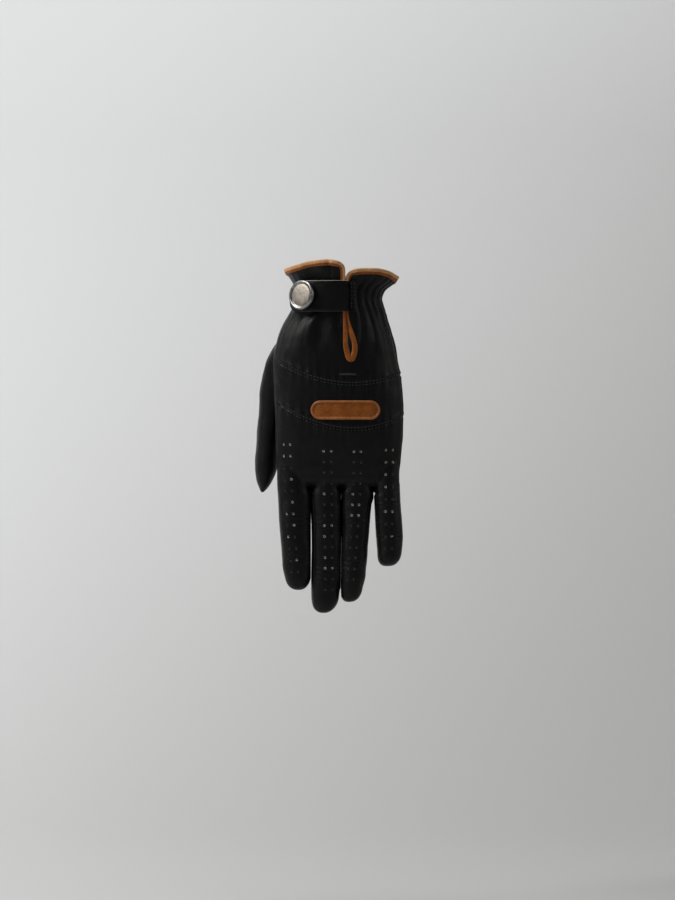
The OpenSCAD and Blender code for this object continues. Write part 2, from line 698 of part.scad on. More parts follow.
// The sewn end of the tab, on the little finger side of the slit: places across it from the fold,
// and those of its two rows of stitches
root_off = 0.3;
root_xs = [2, 3.5, 5];
root_rows = [2.7, 4.3];
module tab_root() {
    rows = 8;
    function at(e) = [
        for (i = [0 : rows]) [
            for (x = root_xs)
                hand(u_of(hinge_x + x, tab_drop), tab_drop + tab_h * (i / rows - 0.5), -e, -1)
        ]
    ];
    color(black_leather) sheet(at(root_off + tab_t), at(root_off));
}

// Frame of the snap: its axis stands square on the tab, and z is the distance from the leather
snap_foot = hand(u_of_angle(snap_angle), tab_drop, 0, -1);
snap_along = tab_point(snap_angle + 1, tab_drop, 0) - tab_point(snap_angle - 1, tab_drop, 0);
snap_down = tab_point(snap_angle, tab_drop + 1, 0) - tab_point(snap_angle, tab_drop - 1, 0);
snap_axis = cross(snap_down, snap_along) / norm(cross(snap_down, snap_along));
tab_lift = (tab_point(snap_angle, tab_drop, 0) - snap_foot) * snap_axis;
module on_snap(z) {
    translate(snap_foot) rotate([0, acos(snap_axis[2]), atan2(snap_axis[1], snap_axis[0])])
        translate([0, 0, z]) children();
}
stud_foot = 0.5;
stud_top = stud_foot + flange_t + stud_h;
socket_foot = stud_foot + flange_t + 0.2;
socket_top = tab_lift - 1;
cap_foot = tab_lift + tab_t + 0.1;
module snap_stud() {
    color(silver) on_snap(stud_foot) rotate_extrude() polygon([
        [0, 0], [flange_r, 0], [flange_r, flange_t], [stud_r, flange_t],
        [stud_r - stud_h * stud_slope, flange_t + stud_h], [0, flange_t + stud_h]
    ]);
}
module snap_post() {
    inside = leather_t + 0.7;
    color(silver) on_snap(-inside - flange_t) {
        cylinder(h = flange_t, r = flange_r - 0.6);
        cylinder(h = flange_t + inside + stud_foot - 0.02, r = barrel_r);
    }
}
module snap_socket() {
    mouth = stud_r + snap_clear;
    roof = stud_top + snap_clear - socket_foot;
    color(silver) on_snap(socket_foot) rotate_extrude() polygon([
        [mouth + 0.05, 0], [socket_r, 0], [socket_r, socket_top - socket_foot],
        [0, socket_top - socket_foot], [0, roof], [mouth - roof * stud_slope, roof]
    ]);
}
module snap_cap() {
    r = button_d / 2;
    color(silver) on_snap(cap_foot) {
        rotate_extrude() polygon([
            [0, 0], [r - 0.5, 0], [r, 0.7], [r, button_h - 0.6], [r - 0.6, button_h],
            [r - button_bezel, button_h], [r - button_bezel - 0.4, button_h - 0.7], [0, button_h - 0.7]
        ]);
        translate([0, 0, socket_top - cap_foot + 0.02])
            cylinder(h = cap_foot - socket_top, r = barrel_r);
    }
}
module button_inset() {
    r = button_d / 2 - button_bezel - 0.5;
    color(pearl) on_snap(cap_foot + button_h - inset_t) rotate_extrude() polygon([
        [0, 0], [r, 0], [r, 0.25], [r * 0.7, 0.5], [0, inset_t]
    ]);
}

// The tan patch on the band
patch_x = 3.4;
// Share of its length at which the pill is cut off, so that its ends have an edge
patch_cut = 0.998;
module patch_sheet(low, high, half_w, half_h) {
    cols = 18;
    rows = 4;
    straight = half_w - half_h;
    function at(e) = [
        for (i = [0 : rows]) [
            for (j = [0 : cols])
                let (
                    x = -half_w * cos(180 * j / cols) * patch_cut,
                    over = max(0, abs(x) - straight),
                    h = sqrt(max(0.02, half_h * half_h - over * over)),
                    s = patch_drop + lerp(-h, h, i / rows)
                ) hand(u_of(patch_x + x, s), s, -e, -1)
        ]
    ];
    sheet(at(high), at(low));
}
module patch() {
    color(tan_leather) patch_sheet(seam_gap / 2, seam_gap / 2 + patch_t, patch_w / 2, patch_h / 2);
}

// Threads
thread_off = thread_d / 2 + 0.15;
module seam_thread(seam) {
    side_room = 6;
    from = -palm_thumb_side + side_room;
    to = palm_little_side - side_room;
    function at(x, row) = let (s = seam_drop(seam, x) + row) hand(u_of(x, s), s, -thread_off, -1);
    color(thread_black) for (row = [-seam_row, seam_row], x = [from : stitch_pitch : to])
        stitch(at(x, row), at(x + stitch_len, row));
}
module upper_seam_thread() { seam_thread(upper_seam); }
module lower_seam_thread() { seam_thread(lower_seam); }
module patch_thread() {
    in = 1.5;
    r = patch_h / 2 - in;
    straight = patch_w / 2 - patch_h / 2;
    around = 4 * straight + 2 * PI * r;
    count = floor(around / stitch_pitch);
    function place(d) =
        let (half = 2 * straight + PI * r, h = d % half, turn = d >= half ? -1 : 1)
        turn * (h < 2 * straight ? [-straight + h, -r]
            : let (a = (h - 2 * straight) / r * 180 / PI) [straight + r * sin(a), -r * cos(a)]);
    function at(d) =
        let (p = place(d), s = patch_drop + p[1])
        hand(u_of(patch_x + p[0], s), s, -seam_gap / 2 - patch_t - thread_off, -1);
    color(tan_leather) for (k = [0 : count - 1]) {
        d = k * around / count;
        stitch(at(d), at(d + stitch_len * 0.7));
    }
}
// Bar of stitches under the keyhole
module keyhole_bar_tack() {
    tack_w = 10;
    tack_drop = keyhole_drop + 7.5;
    tack_len = 2;
    tack_pitch = 2.5;
    mid = slit_mid(keyhole_drop);
    function at(x) = hand(u_of(mid - tack_w / 2 + x, tack_drop), tack_drop, -thread_off, -1);
    color(thread_black) for (x = [0 : tack_pitch : tack_w - tack_pitch]) stitch(at(x), at(x + tack_len));
}
// Two rows of stitches in the tab's sewn end
module tab_thread() {
    first = -tab_h / 2 + 2;
    out = root_off + tab_t + thread_off;
    function at(x, s) = hand(u_of(hinge_x + x, tab_drop), tab_drop + s, -out, -1);
    color(thread_black) for (x = root_rows, s = [first : stitch_pitch : -first - stitch_len])
        stitch(at(x, s), at(x, s + stitch_len));
}

cuff_back_panel();
band_back_panel();
knuckle_back_panel();
palm_panel();
thumb_gusset();
cuff_binding();
placket_binding();
wrist_elastic();
tab_root();
tab_thread();
patch();
patch_thread();
upper_seam_thread();
lower_seam_thread();
keyhole_bar_tack();
snap_stud();
snap_post();
tab_strap();
snap_socket();
snap_cap();
button_inset();
finger_back(0);  // index_back
finger_palm(0);  // index_palm
finger_fourchette(0, 1);  // index_fourchette
finger_back(1);  // middle_back
finger_palm(1);  // middle_palm
finger_fourchette(1, -1);  // middle_fourchette_index_side
finger_fourchette(1, 1);  // middle_fourchette_ring_side
finger_back(2);  // ring_back
finger_palm(2);  // ring_palm
finger_fourchette(2, -1);  // ring_fourchette_middle_side
finger_fourchette(2, 1);  // ring_fourchette_little_side
finger_back(3);  // little_back
finger_palm(3);  // little_palm
finger_fourchette(3, -1);  // little_fourchette
thumb_back();
thumb_palm();
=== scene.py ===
import bpy
import bmesh
import math
import numpy as np
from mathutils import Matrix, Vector, noise
from mathutils.bvhtree import BVHTree
from mathutils.kdtree import KDTree


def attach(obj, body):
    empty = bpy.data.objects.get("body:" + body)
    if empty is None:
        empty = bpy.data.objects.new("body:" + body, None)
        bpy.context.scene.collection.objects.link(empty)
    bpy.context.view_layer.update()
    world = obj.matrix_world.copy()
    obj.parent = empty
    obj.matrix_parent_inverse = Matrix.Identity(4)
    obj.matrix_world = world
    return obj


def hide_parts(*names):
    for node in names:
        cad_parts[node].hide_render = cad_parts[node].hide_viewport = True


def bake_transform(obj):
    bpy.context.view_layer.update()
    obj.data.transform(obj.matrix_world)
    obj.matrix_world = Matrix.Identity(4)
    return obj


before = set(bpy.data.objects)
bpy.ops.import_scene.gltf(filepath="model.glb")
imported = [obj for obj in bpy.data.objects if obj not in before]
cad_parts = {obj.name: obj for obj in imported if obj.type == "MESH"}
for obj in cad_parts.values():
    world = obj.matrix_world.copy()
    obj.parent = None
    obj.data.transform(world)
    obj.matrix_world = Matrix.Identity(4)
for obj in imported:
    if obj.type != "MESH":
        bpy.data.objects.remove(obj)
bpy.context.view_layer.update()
print("frame loaded")


# Shader maths: a socket with operators, and one way to add any other node
class Wire:
    def __init__(self, tree, socket=None):
        self.tree = tree
        self.socket = socket

    def add(self, kind, settings=None, sockets=None, out=0):
        node = self.tree.nodes.new(kind)
        for key, value in (settings or {}).items():
            setattr(node, key, value)
        for key, value in (sockets or {}).items():
            if isinstance(value, Wire):
                self.tree.links.new(value.socket, node.inputs[key])
            else:
                node.inputs[key].default_value = value
        return Wire(self.tree, node.outputs[out] if len(node.outputs) else None)

    def maths(self, name, a, b=0.0):
        return self.add("ShaderNodeMath", {"operation": name}, {0: a, 1: b})

    def __add__(self, other):
        return self.maths("ADD", self, other)

    def __sub__(self, other):
        return self.maths("SUBTRACT", self, other)

    def __mul__(self, other):
        return self.maths("MULTIPLY", self, other)

    def __rsub__(self, other):
        return self.maths("SUBTRACT", other, self)

    __radd__ = __add__
    __rmul__ = __mul__

    def mix(self, factor, a, b):
        return self.add("ShaderNodeMix", {"data_type": "RGBA"}, {0: factor, 6: a, 7: b}, out=2)

    def span(self, low, high, to=(0.0, 1.0)):
        return self.add("ShaderNodeMapRange", {"interpolation_type": "SMOOTHSTEP"},
                        {"Value": self, "From Min": low, "From Max": high, "To Min": to[0], "To Max": to[1]})

    def noise(self, at, scale, detail=3.0, rough=0.55):
        return self.add("ShaderNodeTexNoise", None,
                        {"Vector": at, "Scale": scale, "Detail": detail, "Roughness": rough})

    def cells(self, at, scale, feature="F1"):
        return self.add("ShaderNodeTexVoronoi", {"feature": feature}, {"Vector": at, "Scale": scale},
                        out="Distance")


def newFinish(name):
    material = bpy.data.materials.new(name)
    material.use_nodes = True
    material.node_tree.nodes.clear()
    return material, Wire(material.node_tree)


def shade(wire, colour, roughness, height=None, depth=0.0001, strength=0.6, **more):
    sockets = {"Base Color": colour, "Roughness": roughness}
    for key, value in more.items():
        sockets[key.replace("_", " ")] = value
    if height is not None:
        sockets["Normal"] = wire.add("ShaderNodeBump", None,
                                     {"Height": height, "Strength": strength, "Distance": depth})
    surface = wire.add("ShaderNodeBsdfPrincipled", None, sockets)
    wire.add("ShaderNodeOutputMaterial", None, {"Surface": surface})


def grey(value, tint=(1.0, 1.0, 1.0)):
    return (value * tint[0], value * tint[1], value * tint[2], 1.0)


leatherLook = {"dark": (0.0013, 0.0013, 0.0014, 1), "light": (0.0037, 0.0036, 0.0036, 1), "grain": 1500,
               "rough": (0.29, 0.42), "depth": 0.00016, "shine": 0.19}


def leatherFinish(name, look):
    material, wire = newFinish(name)
    at = wire.add("ShaderNodeTexCoord", out="Object")
    warp = wire.add("ShaderNodeTexNoise", None, {"Vector": at, "Scale": look["grain"] * 0.45}, out="Color")
    moved = wire.add("ShaderNodeVectorMath", {"operation": "MULTIPLY_ADD"},
                     {0: warp, 1: (0.0006, 0.0006, 0.0006), 2: at})
    pebble = wire.cells(moved, look["grain"], "DISTANCE_TO_EDGE").span(0.0, 0.28)
    pores = wire.cells(moved, look["grain"] * 0.55)
    fine = wire.noise(at, look["grain"] * 2.6)
    broad = wire.noise(at, 38, 4.0)
    patchy = wire.noise(at, 160, 3.0)
    worn = (broad * 0.65 + patchy * 0.35).span(0.36, 0.68)
    colour = wire.mix(worn * 0.75 + pebble * 0.25, look["dark"], look["light"])
    low, high = look["rough"]
    rough = (high - (high - low) * worn) + (fine - 0.5) * 0.12
    height = pebble * 0.55 + pores * 0.25 + fine * 0.2
    shade(wire, colour, rough, height, look["depth"], 0.55, Specular_IOR_Level=look["shine"])
    return material


def suedeFinish(name, dark, light):
    material, wire = newFinish(name)
    at = wire.add("ShaderNodeTexCoord", out="Object")
    nap = wire.noise(at, 2400, 4.0, 0.7)
    blotch = wire.noise(at, 120, 3.0)
    colour = wire.mix(nap * 0.5 + blotch * 0.5, dark, light)
    shade(wire, colour, 0.9 - nap * 0.1, nap, 0.0002, 0.7)
    return material


def tanFinish(name, dark, light, dull=0.62, shine=0.18):
    material, wire = newFinish(name)
    at = wire.add("ShaderNodeTexCoord", out="Object")
    pebble = wire.cells(at, 1300, "DISTANCE_TO_EDGE").span(0.0, 0.3)
    blotch = wire.noise(at, 210, 4.0, 0.6)
    fine = wire.noise(at, 3200, 3.0)
    colour = wire.mix((blotch * 0.75 + pebble * 0.25).span(0.3, 0.75), dark, light)
    shade(wire, colour, dull - blotch * 0.2, pebble * 0.6 + fine * 0.4, 0.00014, 0.5,
          Specular_IOR_Level=shine)
    return material


def threadFinish(name, dark, light):
    material, wire = newFinish(name)
    at = wire.add("ShaderNodeTexCoord", out="Object")
    ply = wire.add("ShaderNodeTexWave", {"bands_direction": "DIAGONAL"},
                   {"Vector": at, "Scale": 1900, "Distortion": 1.5, "Detail": 1.0})
    fuzz = wire.noise(at, 5200, 2.0)
    shade(wire, wire.mix(ply * 0.7 + fuzz * 0.3, dark, light), 0.7 - ply * 0.15, ply, 0.00012, 0.8)
    return material


def metalFinish(name, dark, light, rough):
    material, wire = newFinish(name)
    at = wire.add("ShaderNodeTexCoord", out="Object")
    smear = wire.noise(at, 420, 4.0, 0.6)
    scratch = wire.add("ShaderNodeTexNoise", None, {
        "Vector": wire.add("ShaderNodeVectorMath", {"operation": "MULTIPLY"}, {0: at, 1: (900, 900, 90)}),
        "Scale": 9.0, "Detail": 3.0})
    colour = wire.mix(smear.span(0.3, 0.7), dark, light)
    shade(wire, colour, rough + (smear - 0.5) * 0.16 + (scratch - 0.5) * 0.08, scratch, 0.00002, 0.3,
          Metallic=1.0)
    return material


def elasticFinish(name):
    material, wire = newFinish(name)
    at = wire.add("ShaderNodeTexCoord", out="Object")
    rib = wire.add("ShaderNodeTexWave", {"bands_direction": "Z"},
                   {"Vector": at, "Scale": 420, "Distortion": 0.6, "Detail": 1.0})
    weave = wire.noise(at, 3000, 2.0)
    shade(wire, wire.mix(rib * 0.7 + weave * 0.3, grey(0.008), grey(0.045)), 0.8, rib, 0.0003, 0.8)
    return material


looks = {
    "black": leatherFinish("blackLeather", leatherLook),
    "suede": suedeFinish("suedeInside", (0.05, 0.047, 0.044, 1), (0.13, 0.125, 0.118, 1)),
    # pale raw cut edge of the leather; in the air holes it also serves as painted light
    "raw": suedeFinish("rawEdge", (0.42, 0.40, 0.37, 1), (0.66, 0.64, 0.60, 1)),
    # dark copy of the raw edge in the suede's tone: painted shade in most air holes
    "rawPaintedShade": suedeFinish("rawEdgePaintedShade", (0.05, 0.048, 0.045, 1), (0.13, 0.125, 0.118, 1)),
    "tan": tanFinish("tanLeather", (0.19, 0.05, 0.006, 1), (0.36, 0.112, 0.018, 1)),
    "tanEdge": tanFinish("tanEdge", (0.38, 0.145, 0.042, 1), (0.58, 0.27, 0.11, 1)),
    # lighter copy of the tan leather: painted highlight on the binding's rounded top along the rim
    "tanRimHighlight": tanFinish("tanRimHighlight", (0.46, 0.23, 0.105, 1), (0.68, 0.40, 0.215, 1)),
    # glossier tan for the patch's raised rim; its lighter colour is a painted highlight
    "tanGlossAndHighlight": tanFinish("tanGlossAndHighlight", (0.25, 0.072, 0.011, 1), (0.44, 0.15, 0.03, 1), 0.46, 0.45),
    "blackThread": threadFinish("blackThread", grey(0.010), grey(0.036)),
    "tanThread": threadFinish("tanThread", (0.22, 0.08, 0.02, 1), (0.42, 0.19, 0.06, 1)),
    "metal": metalFinish("snapMetal", (0.19, 0.19, 0.18, 1), (0.36, 0.355, 0.34, 1), 0.33),
    "face": metalFinish("buttonFace", (0.25, 0.222, 0.19, 1), (0.38, 0.34, 0.295, 1), 0.5),
    "elastic": elasticFinish("elastic"),
}
print("materials made")


# Number helpers. Shapes are worked out in millimetres; drop runs down from the cuff.
def lerp(a, b, t):
    return a + (b - a) * t


def smooth(t):
    t = np.clip(t, 0, 1)
    return t * t * (3 - 2 * t)


def bump(x, mid, width):
    return np.exp(-((x - mid) / width) ** 2)


def curve(stations, s):
    st = np.array(stations, float)
    xs, ys = st[:, 0], st[:, 1]
    slope = np.gradient(ys, xs)
    s = np.clip(np.asarray(s, float), xs[0], xs[-1])
    i = np.clip(np.searchsorted(xs, s, side="right") - 1, 0, len(xs) - 2)
    w = xs[i + 1] - xs[i]
    t = (s - xs[i]) / w
    h = t * t * (3 - 2 * t)
    return lerp(ys[i], ys[i + 1], h) + w * (t * (1 - t) ** 2 * slope[i] + t * t * (t - 1) * slope[i + 1])


roundness = 2.3  # power of the hand's squarish oval section


def rounded(c, power=roundness):
    return np.sign(c) * np.abs(c) ** (2 / power)


def unit(v):
    return v / np.linalg.norm(v, axis=-1, keepdims=True)


def treeOf(points):
    tree = KDTree(len(points))
    for i, p in enumerate(points):
        tree.insert(Vector(p), i)
    tree.balance()
    return tree


def toMesh(name, points, faces, material, smoothAngle=40):
    mesh = bpy.data.meshes.new(name)
    mesh.from_pydata((np.asarray(points, float) / 1000).tolist(), [], [list(map(int, f)) for f in faces])
    mesh.validate()
    for finish in material if isinstance(material, (list, tuple)) else [material]:
        mesh.materials.append(looks[finish])
    mesh.shade_smooth()
    mesh.set_sharp_from_angle(angle=math.radians(smoothAngle))
    piece = bpy.data.objects.new(name, mesh)
    bpy.context.scene.collection.objects.link(piece)
    return piece


def tubeFaces(rows, cols, closeRows=False, caps=True, first=0):
    faces = []
    for i in range(rows if closeRows else rows - 1):
        for j in range(cols):
            a, b = i * cols, ((i + 1) % rows) * cols
            k = (j + 1) % cols
            faces.append((first + a + j, first + a + k, first + b + k, first + b + j))
    if caps and not closeRows:
        faces.append(tuple(first + j for j in range(cols - 1, -1, -1)))
        faces.append(tuple(first + (rows - 1) * cols + j for j in range(cols)))
    return faces


# The glove's body: hand, fingers and thumb as closed solids that are then made into one skin
handShape = {
    "left": [(-16, -40.5), (-4, -37.6), (2, -35.8), (9.8, -30), (18, -27.3), (29, -31.9), (40, -38.4),
             (52, -42.2), (64, -43.3), (79, -42.9), (99, -42.3), (112, -41.8), (125, -41.3), (138, -40.9),
             (150, -40.5)],
    "right": [(-16, 41.5), (0, 38.8), (6, 37.9), (10.4, 33.6), (13.5, 29.4), (18, 27.3), (29, 29.3),
              (40, 32.7), (52, 36.1), (64, 38.4), (79, 40.5), (99, 41.3), (112, 40.8), (125, 39.3),
              (138, 38.7), (150, 38.8)],
    "back": [(-16, 28), (-4, 26), (2, 24), (9, 20.8), (18, 20), (60, 19.4), (97, 17), (114, 15), (126, 12.6),
             (134, 10.6), (139, 8.8), (142, 5.2), (143.5, 2.4)],
    "palm": [(-16, 28), (-4, 26), (2, 24), (9, 20.8), (18, 20), (60, 21.5), (97, 18), (116, 15.6),
             (130, 12), (138, 9.4), (143.5, 5.5)],
    "end": 143.4, "sides": 96,
}
# Index, middle, ring and little finger: edges as x over drop, and the dome at the tip
fingerShape = [
    {"left": [(112, -38.9), (126, -40.7), (142, -40.8), (151, -40.25), (167, -39.5), (180, -38.4),
              (190, -37.6), (196, -37.2), (200, -36.4)],
     "right": [(112, -20.5), (142, -18.5), (158, -18.55), (166, -18.7), (174, -18.75), (185, -18.45),
               (194, -18.35), (200, -18.9)],
     "dome": 197, "tip": 209.3, "tipX": -28.2, "power": 2.3, "web": 140},
    {"left": [(112, -17.5), (142, -19.1), (158, -19.0), (166, -18.65), (181, -18.4), (192, -18.6),
              (204, -18.75), (212, -18.7)],
     "right": [(112, -0.5), (142, 1.1), (190, 1.1), (204, 0.9), (208, 0.5), (212, -0.2)],
     "dome": 211.5, "tip": 224.3, "tipX": -11.0, "power": 2.3, "web": 140},
    {"left": [(112, 2), (142, 0.5), (170, 0.5), (190, 0.3), (204, 0.2), (207, 0.2)],
     "right": [(112, 20), (142, 22.1), (150, 21.9), (154, 20.9), (159, 20.1), (165, 19.6), (173, 19.0),
               (181, 18.3), (188, 17.9), (196, 17.1), (204, 16.2), (207, 15.4)],
     "dome": 205, "tip": 217, "tipX": 6.4, "power": 2.5, "web": 140},
    {"left": [(106, 24), (135, 21.5), (146, 21.8), (150, 22.1), (157, 22.4), (165, 22.8),
              (173, 23.2), (185, 24.2)],
     "right": [(106, 36.5), (122, 38.4), (135, 38.8), (151, 39.4), (165, 40.5), (175, 41.0), (186, 40.2)],
     "dome": 184, "tip": 193.9, "tipX": 31.2, "power": 2.5, "web": 133},
]
fingerCommon = {"depth": [(106, 12), (126, 15.6), (140, 17.4), (170, 17.2), (225, 15)],
                "pad": [(-8, 0), (0, 1.0), (6, 2.3), (13, 2.6), (20, 1.9), (30, 0.6), (40, 0)],
                "shrink": 1.15, "sides": 40, "step": 1.6, "domeRows": 12, "tipPull": 0.8,
                "inner": [(0, 1), (1, 1), (1, 1), (1, 0)]}
thumbShape = {
    "left": [(46, -39), (52, -43.6), (60, -48.0), (67.6, -50.1), (75.4, -51.8), (91, -52.8), (106.6, -54.5),
             (120, -55.2), (129, -55.7), (134, -55.4), (138, -54.6), (141.7, -53.4), (145.2, -52.0)],
    "right": [(46, -34), (60, -33.5), (75, -35), (91, -36.5), (106.6, -38.6), (120, -40), (127, -40.6),
              (131, -41.0), (135, -42.2), (139, -44.4), (143, -47.2), (145.2, -49.4)],
    "y": [(46, 3), (60, 8), (75, 12.5), (91, 15.6), (108, 17), (146, 17.4)],
    "depth": [(46, 8), (60, 15), (75, 18), (91, 19), (108, 19), (124, 18.4), (132, 17), (138, 14.2),
              (142, 10.8), (145.2, 6)],
    "end": 145.9, "step": 1.6, "sides": 36, "power": 2.1, "capIn": 0.3, "capDeep": 0.4,
}
webs = [{"x": -18.9, "drop": 138}, {"x": 0.8, "drop": 138}, {"x": 21.8, "drop": 137}]
webShape = {"half": 3.4, "deep": 4.5, "y": 2.6, "tall": 9, "steps": 12, "sides": 16}
skinMake = {"voxel": 0.7, "passes": 14, "thick": 0.9}


def ring(left, right, back, palm, mid, s, sides, power=roundness):
    a = np.arange(sides) / sides * 2 * math.pi
    c, q = rounded(np.cos(a), power), rounded(np.sin(a), power)
    x = (left + right) / 2 + (right - left) / 2 * c
    y = mid + np.where(q < 0, back, palm) * q
    return np.stack([x, y, np.full(sides, -s)], 1)


def handSolid():
    shape = handShape
    drops = np.arange(shape["left"][0][0] + 0.5, shape["end"], 2.0)
    rows = [ring(curve(shape["left"], s), curve(shape["right"], s), curve(shape["back"], s),
                 curve(shape["palm"], s), 0, s, shape["sides"]) for s in drops]
    return np.concatenate(rows), tubeFaces(len(rows), shape["sides"])


def fingerSolid(f, inner):
    shrink, p = fingerCommon["shrink"], f["power"]
    drops = list(np.arange(f["left"][0][0], f["dome"], fingerCommon["step"]))
    ts = np.sin(np.linspace(0, 0.5, fingerCommon["domeRows"]) * math.pi)[:-1]
    rows = []
    for s in drops + [f["dome"] + t * (f["tip"] - f["dome"]) for t in ts]:
        t = max(0.0, (s - f["dome"]) / (f["tip"] - f["dome"]))
        full = (1 - t ** p) ** (1 / p)
        left, right = curve(f["left"], s) + shrink * inner[0], curve(f["right"], s) - shrink * inner[1]
        mid, half = (left + right) / 2, (right - left) / 2 * full
        mid = lerp(mid, f["tipX"], t * t * fingerCommon["tipPull"])
        deep = curve(fingerCommon["depth"], s) / 2 * full
        pad = curve(fingerCommon["pad"], s - f["web"]) * full
        rows.append(ring(mid - half, mid + half, deep, deep + pad, 0, s, fingerCommon["sides"]))
    return np.concatenate(rows), tubeFaces(len(rows), fingerCommon["sides"])


def thumbSolid():
    shape = thumbShape
    top, low = shape["left"][0][0], shape["left"][-1][0]
    rows = []
    for s in list(np.arange(top, low, shape["step"])) + [low, shape["end"]]:
        left, right = curve(shape["left"], s), curve(shape["right"], s)
        deep = curve(shape["depth"], s) / 2
        if s > low:
            left, right = lerp(left, right, shape["capIn"]), lerp(left, right, 1 - shape["capIn"])
            deep = deep * shape["capDeep"]
        rows.append(ring(left, right, deep, deep, curve(shape["y"], s), s, shape["sides"], shape["power"]))
    return np.concatenate(rows), tubeFaces(len(rows), shape["sides"])


def webSolid(web):
    shape, rows = webShape, []
    for k in range(1, shape["steps"]):
        a = math.pi * k / shape["steps"]
        half, deep = shape["half"] * math.sin(a), shape["deep"] * math.sin(a)
        rows.append(ring(web["x"] - half, web["x"] + half, deep, deep, shape["y"],
                         web["drop"] - shape["tall"] * math.cos(a), shape["sides"], 2))
    return np.concatenate(rows), tubeFaces(len(rows), shape["sides"])


def unite(solids, voxel):
    points, faces, first = [], [], 0
    for p, f in solids:
        points.append(p)
        faces += [tuple(first + i for i in q) for q in f]
        first += len(p)
    mesh = bpy.data.meshes.new("raw")
    mesh.from_pydata(np.concatenate(points).tolist(), [], faces)
    body = bpy.data.objects.new("raw", mesh)
    bpy.context.scene.collection.objects.link(body)
    remesh = body.modifiers.new("union", "REMESH")
    remesh.mode = "VOXEL"
    remesh.voxel_size = voxel
    made = body.evaluated_get(bpy.context.evaluated_depsgraph_get()).to_mesh()
    verts = np.zeros(len(made.vertices) * 3)
    made.vertices.foreach_get("co", verts)
    quads = [tuple(p.vertices) for p in made.polygons]
    bpy.data.objects.remove(body)
    return verts.reshape(-1, 3), quads


def edgesOf(faces):
    pairs = set()
    for f in faces:
        for a, b in zip(f, f[1:] + f[:1]):
            pairs.add((min(a, b), max(a, b)))
    return np.array(sorted(pairs))


def relax(points, edges, passes, pull=0.5, push=-0.53):
    count = np.zeros(len(points))
    np.add.at(count, edges.ravel(), 1)
    p = points.copy()
    for k in range(passes * 2):
        mean = np.zeros_like(p)
        np.add.at(mean, edges[:, 0], p[edges[:, 1]])
        np.add.at(mean, edges[:, 1], p[edges[:, 0]])
        p = p + (mean / count[:, None] - p) * (pull if k % 2 == 0 else push)
    return p


def normalsOf(points, faces):
    quads = np.array([f if len(f) == 4 else f + (f[2],) for f in faces if len(f) <= 4])
    n = np.cross(points[quads[:, 2]] - points[quads[:, 0]], points[quads[:, 3]] - points[quads[:, 1]])
    total = np.zeros_like(points)
    for k in range(4):
        np.add.at(total, quads[:, k], n)
    return total / np.maximum(np.linalg.norm(total, axis=1, keepdims=True), 1e-9)


skinPoints, skinFaces = unite([handSolid(), thumbSolid()] + [webSolid(w) for w in webs] + [
    fingerSolid(f, inner) for f, inner in zip(fingerShape, fingerCommon["inner"])], skinMake["voxel"])
skinPoints = relax(skinPoints, edgesOf(skinFaces), skinMake["passes"])
print("skin united:", len(skinPoints))

# Fingers widen back to their full width just below the webs
cutDrops = [147.5, 147.5, 147.5, 140.5]
webDrops = [142.5, 142.5, 142.5, 136]


def fingerOf(x, s):
    which = np.zeros(np.shape(x), int)
    for f, g in zip(fingerShape, fingerShape[1:]):
        which += np.asarray(x) > (curve(f["right"], s) + curve(g["left"], s)) / 2
    return which


thumbZone = {"from": 100, "to": 150, "reach": 1.5, "tip": 140, "tipX": -43}


def isThumb(p):
    s, shape, zone = -p[:, 2], thumbShape, thumbZone
    left, right, deep = (curve(shape[k], s) for k in ("left", "right", "depth"))
    across = (p[:, 0] - (left + right) / 2) / ((right - left) / 2)
    through = (p[:, 1] - curve(shape["y"], s)) / (deep / 2)
    atTip = (s > zone["tip"]) & (p[:, 0] < zone["tipX"])
    return (s > zone["from"]) & (s < zone["to"]) & ((across ** 2 + through ** 2 < zone["reach"]) | atTip)


# Where two fingers press on each other: the flat between them, down to a drop below which they part
contacts = [{"pair": (0, 1), "x": [(142, -18.82), (160, -18.82)], "until": 158, "part": 0.08},
            {"pair": (1, 2), "x": [(142, 0.8), (190, 0.7), (204, 0.45)], "until": 206, "part": 0.3},
            {"pair": (2, 3), "x": [(135, 21.8), (150, 21.8)], "until": 149, "part": 0.25}]
contactMake = {"gap": 0.02, "ease": 9, "below": 3}
widenMake = {"below": 6.5, "step": 2.0, "near": 1.5, "ease": 5.0}


def press(x, s):
    make = contactMake
    for contact in contacts:
        flat = curve(contact["x"], s)
        gap = make["gap"] + contact["part"] * smooth((s - contact["until"]) / make["ease"])
        for i, side in zip(contact["pair"], (-1, 1)):
            mine = (skinFinger == i) & (s > webDrops[i] + make["below"]) & (side * (x - flat) < gap)
            x = np.where(mine, flat + side * gap, x)
    return x


def widen(p):
    out, s, make = p.copy(), -p[:, 2], widenMake
    which, thumb = skinFinger, isThumb(p)
    for i, f in enumerate(fingerShape):
        pick = np.nonzero((which == i) & ~thumb & (s > webDrops[i]))[0]
        drops = np.arange(webDrops[i] + make["below"], f["dome"], make["step"])
        near = [p[pick][np.abs(s[pick] - d) < make["near"], 0] for d in drops]
        low, high = np.array([q.min() for q in near]), np.array([q.max() for q in near])
        at = np.clip(s[pick], drops[0], drops[-1])
        low, high = np.interp(at, drops, low), np.interp(at, drops, high)
        left, right = curve(f["left"], at), curve(f["right"], at)
        full = left + (p[pick, 0] - low) / (high - low) * (right - left)
        out[pick, 0] = lerp(p[pick, 0], full, smooth((s[pick] - webDrops[i]) / make["ease"]))
    out[:, 0] = press(out[:, 0], s)
    return out


skinFinger = fingerOf(skinPoints[:, 0], -skinPoints[:, 2])
skinPoints = widen(skinPoints)

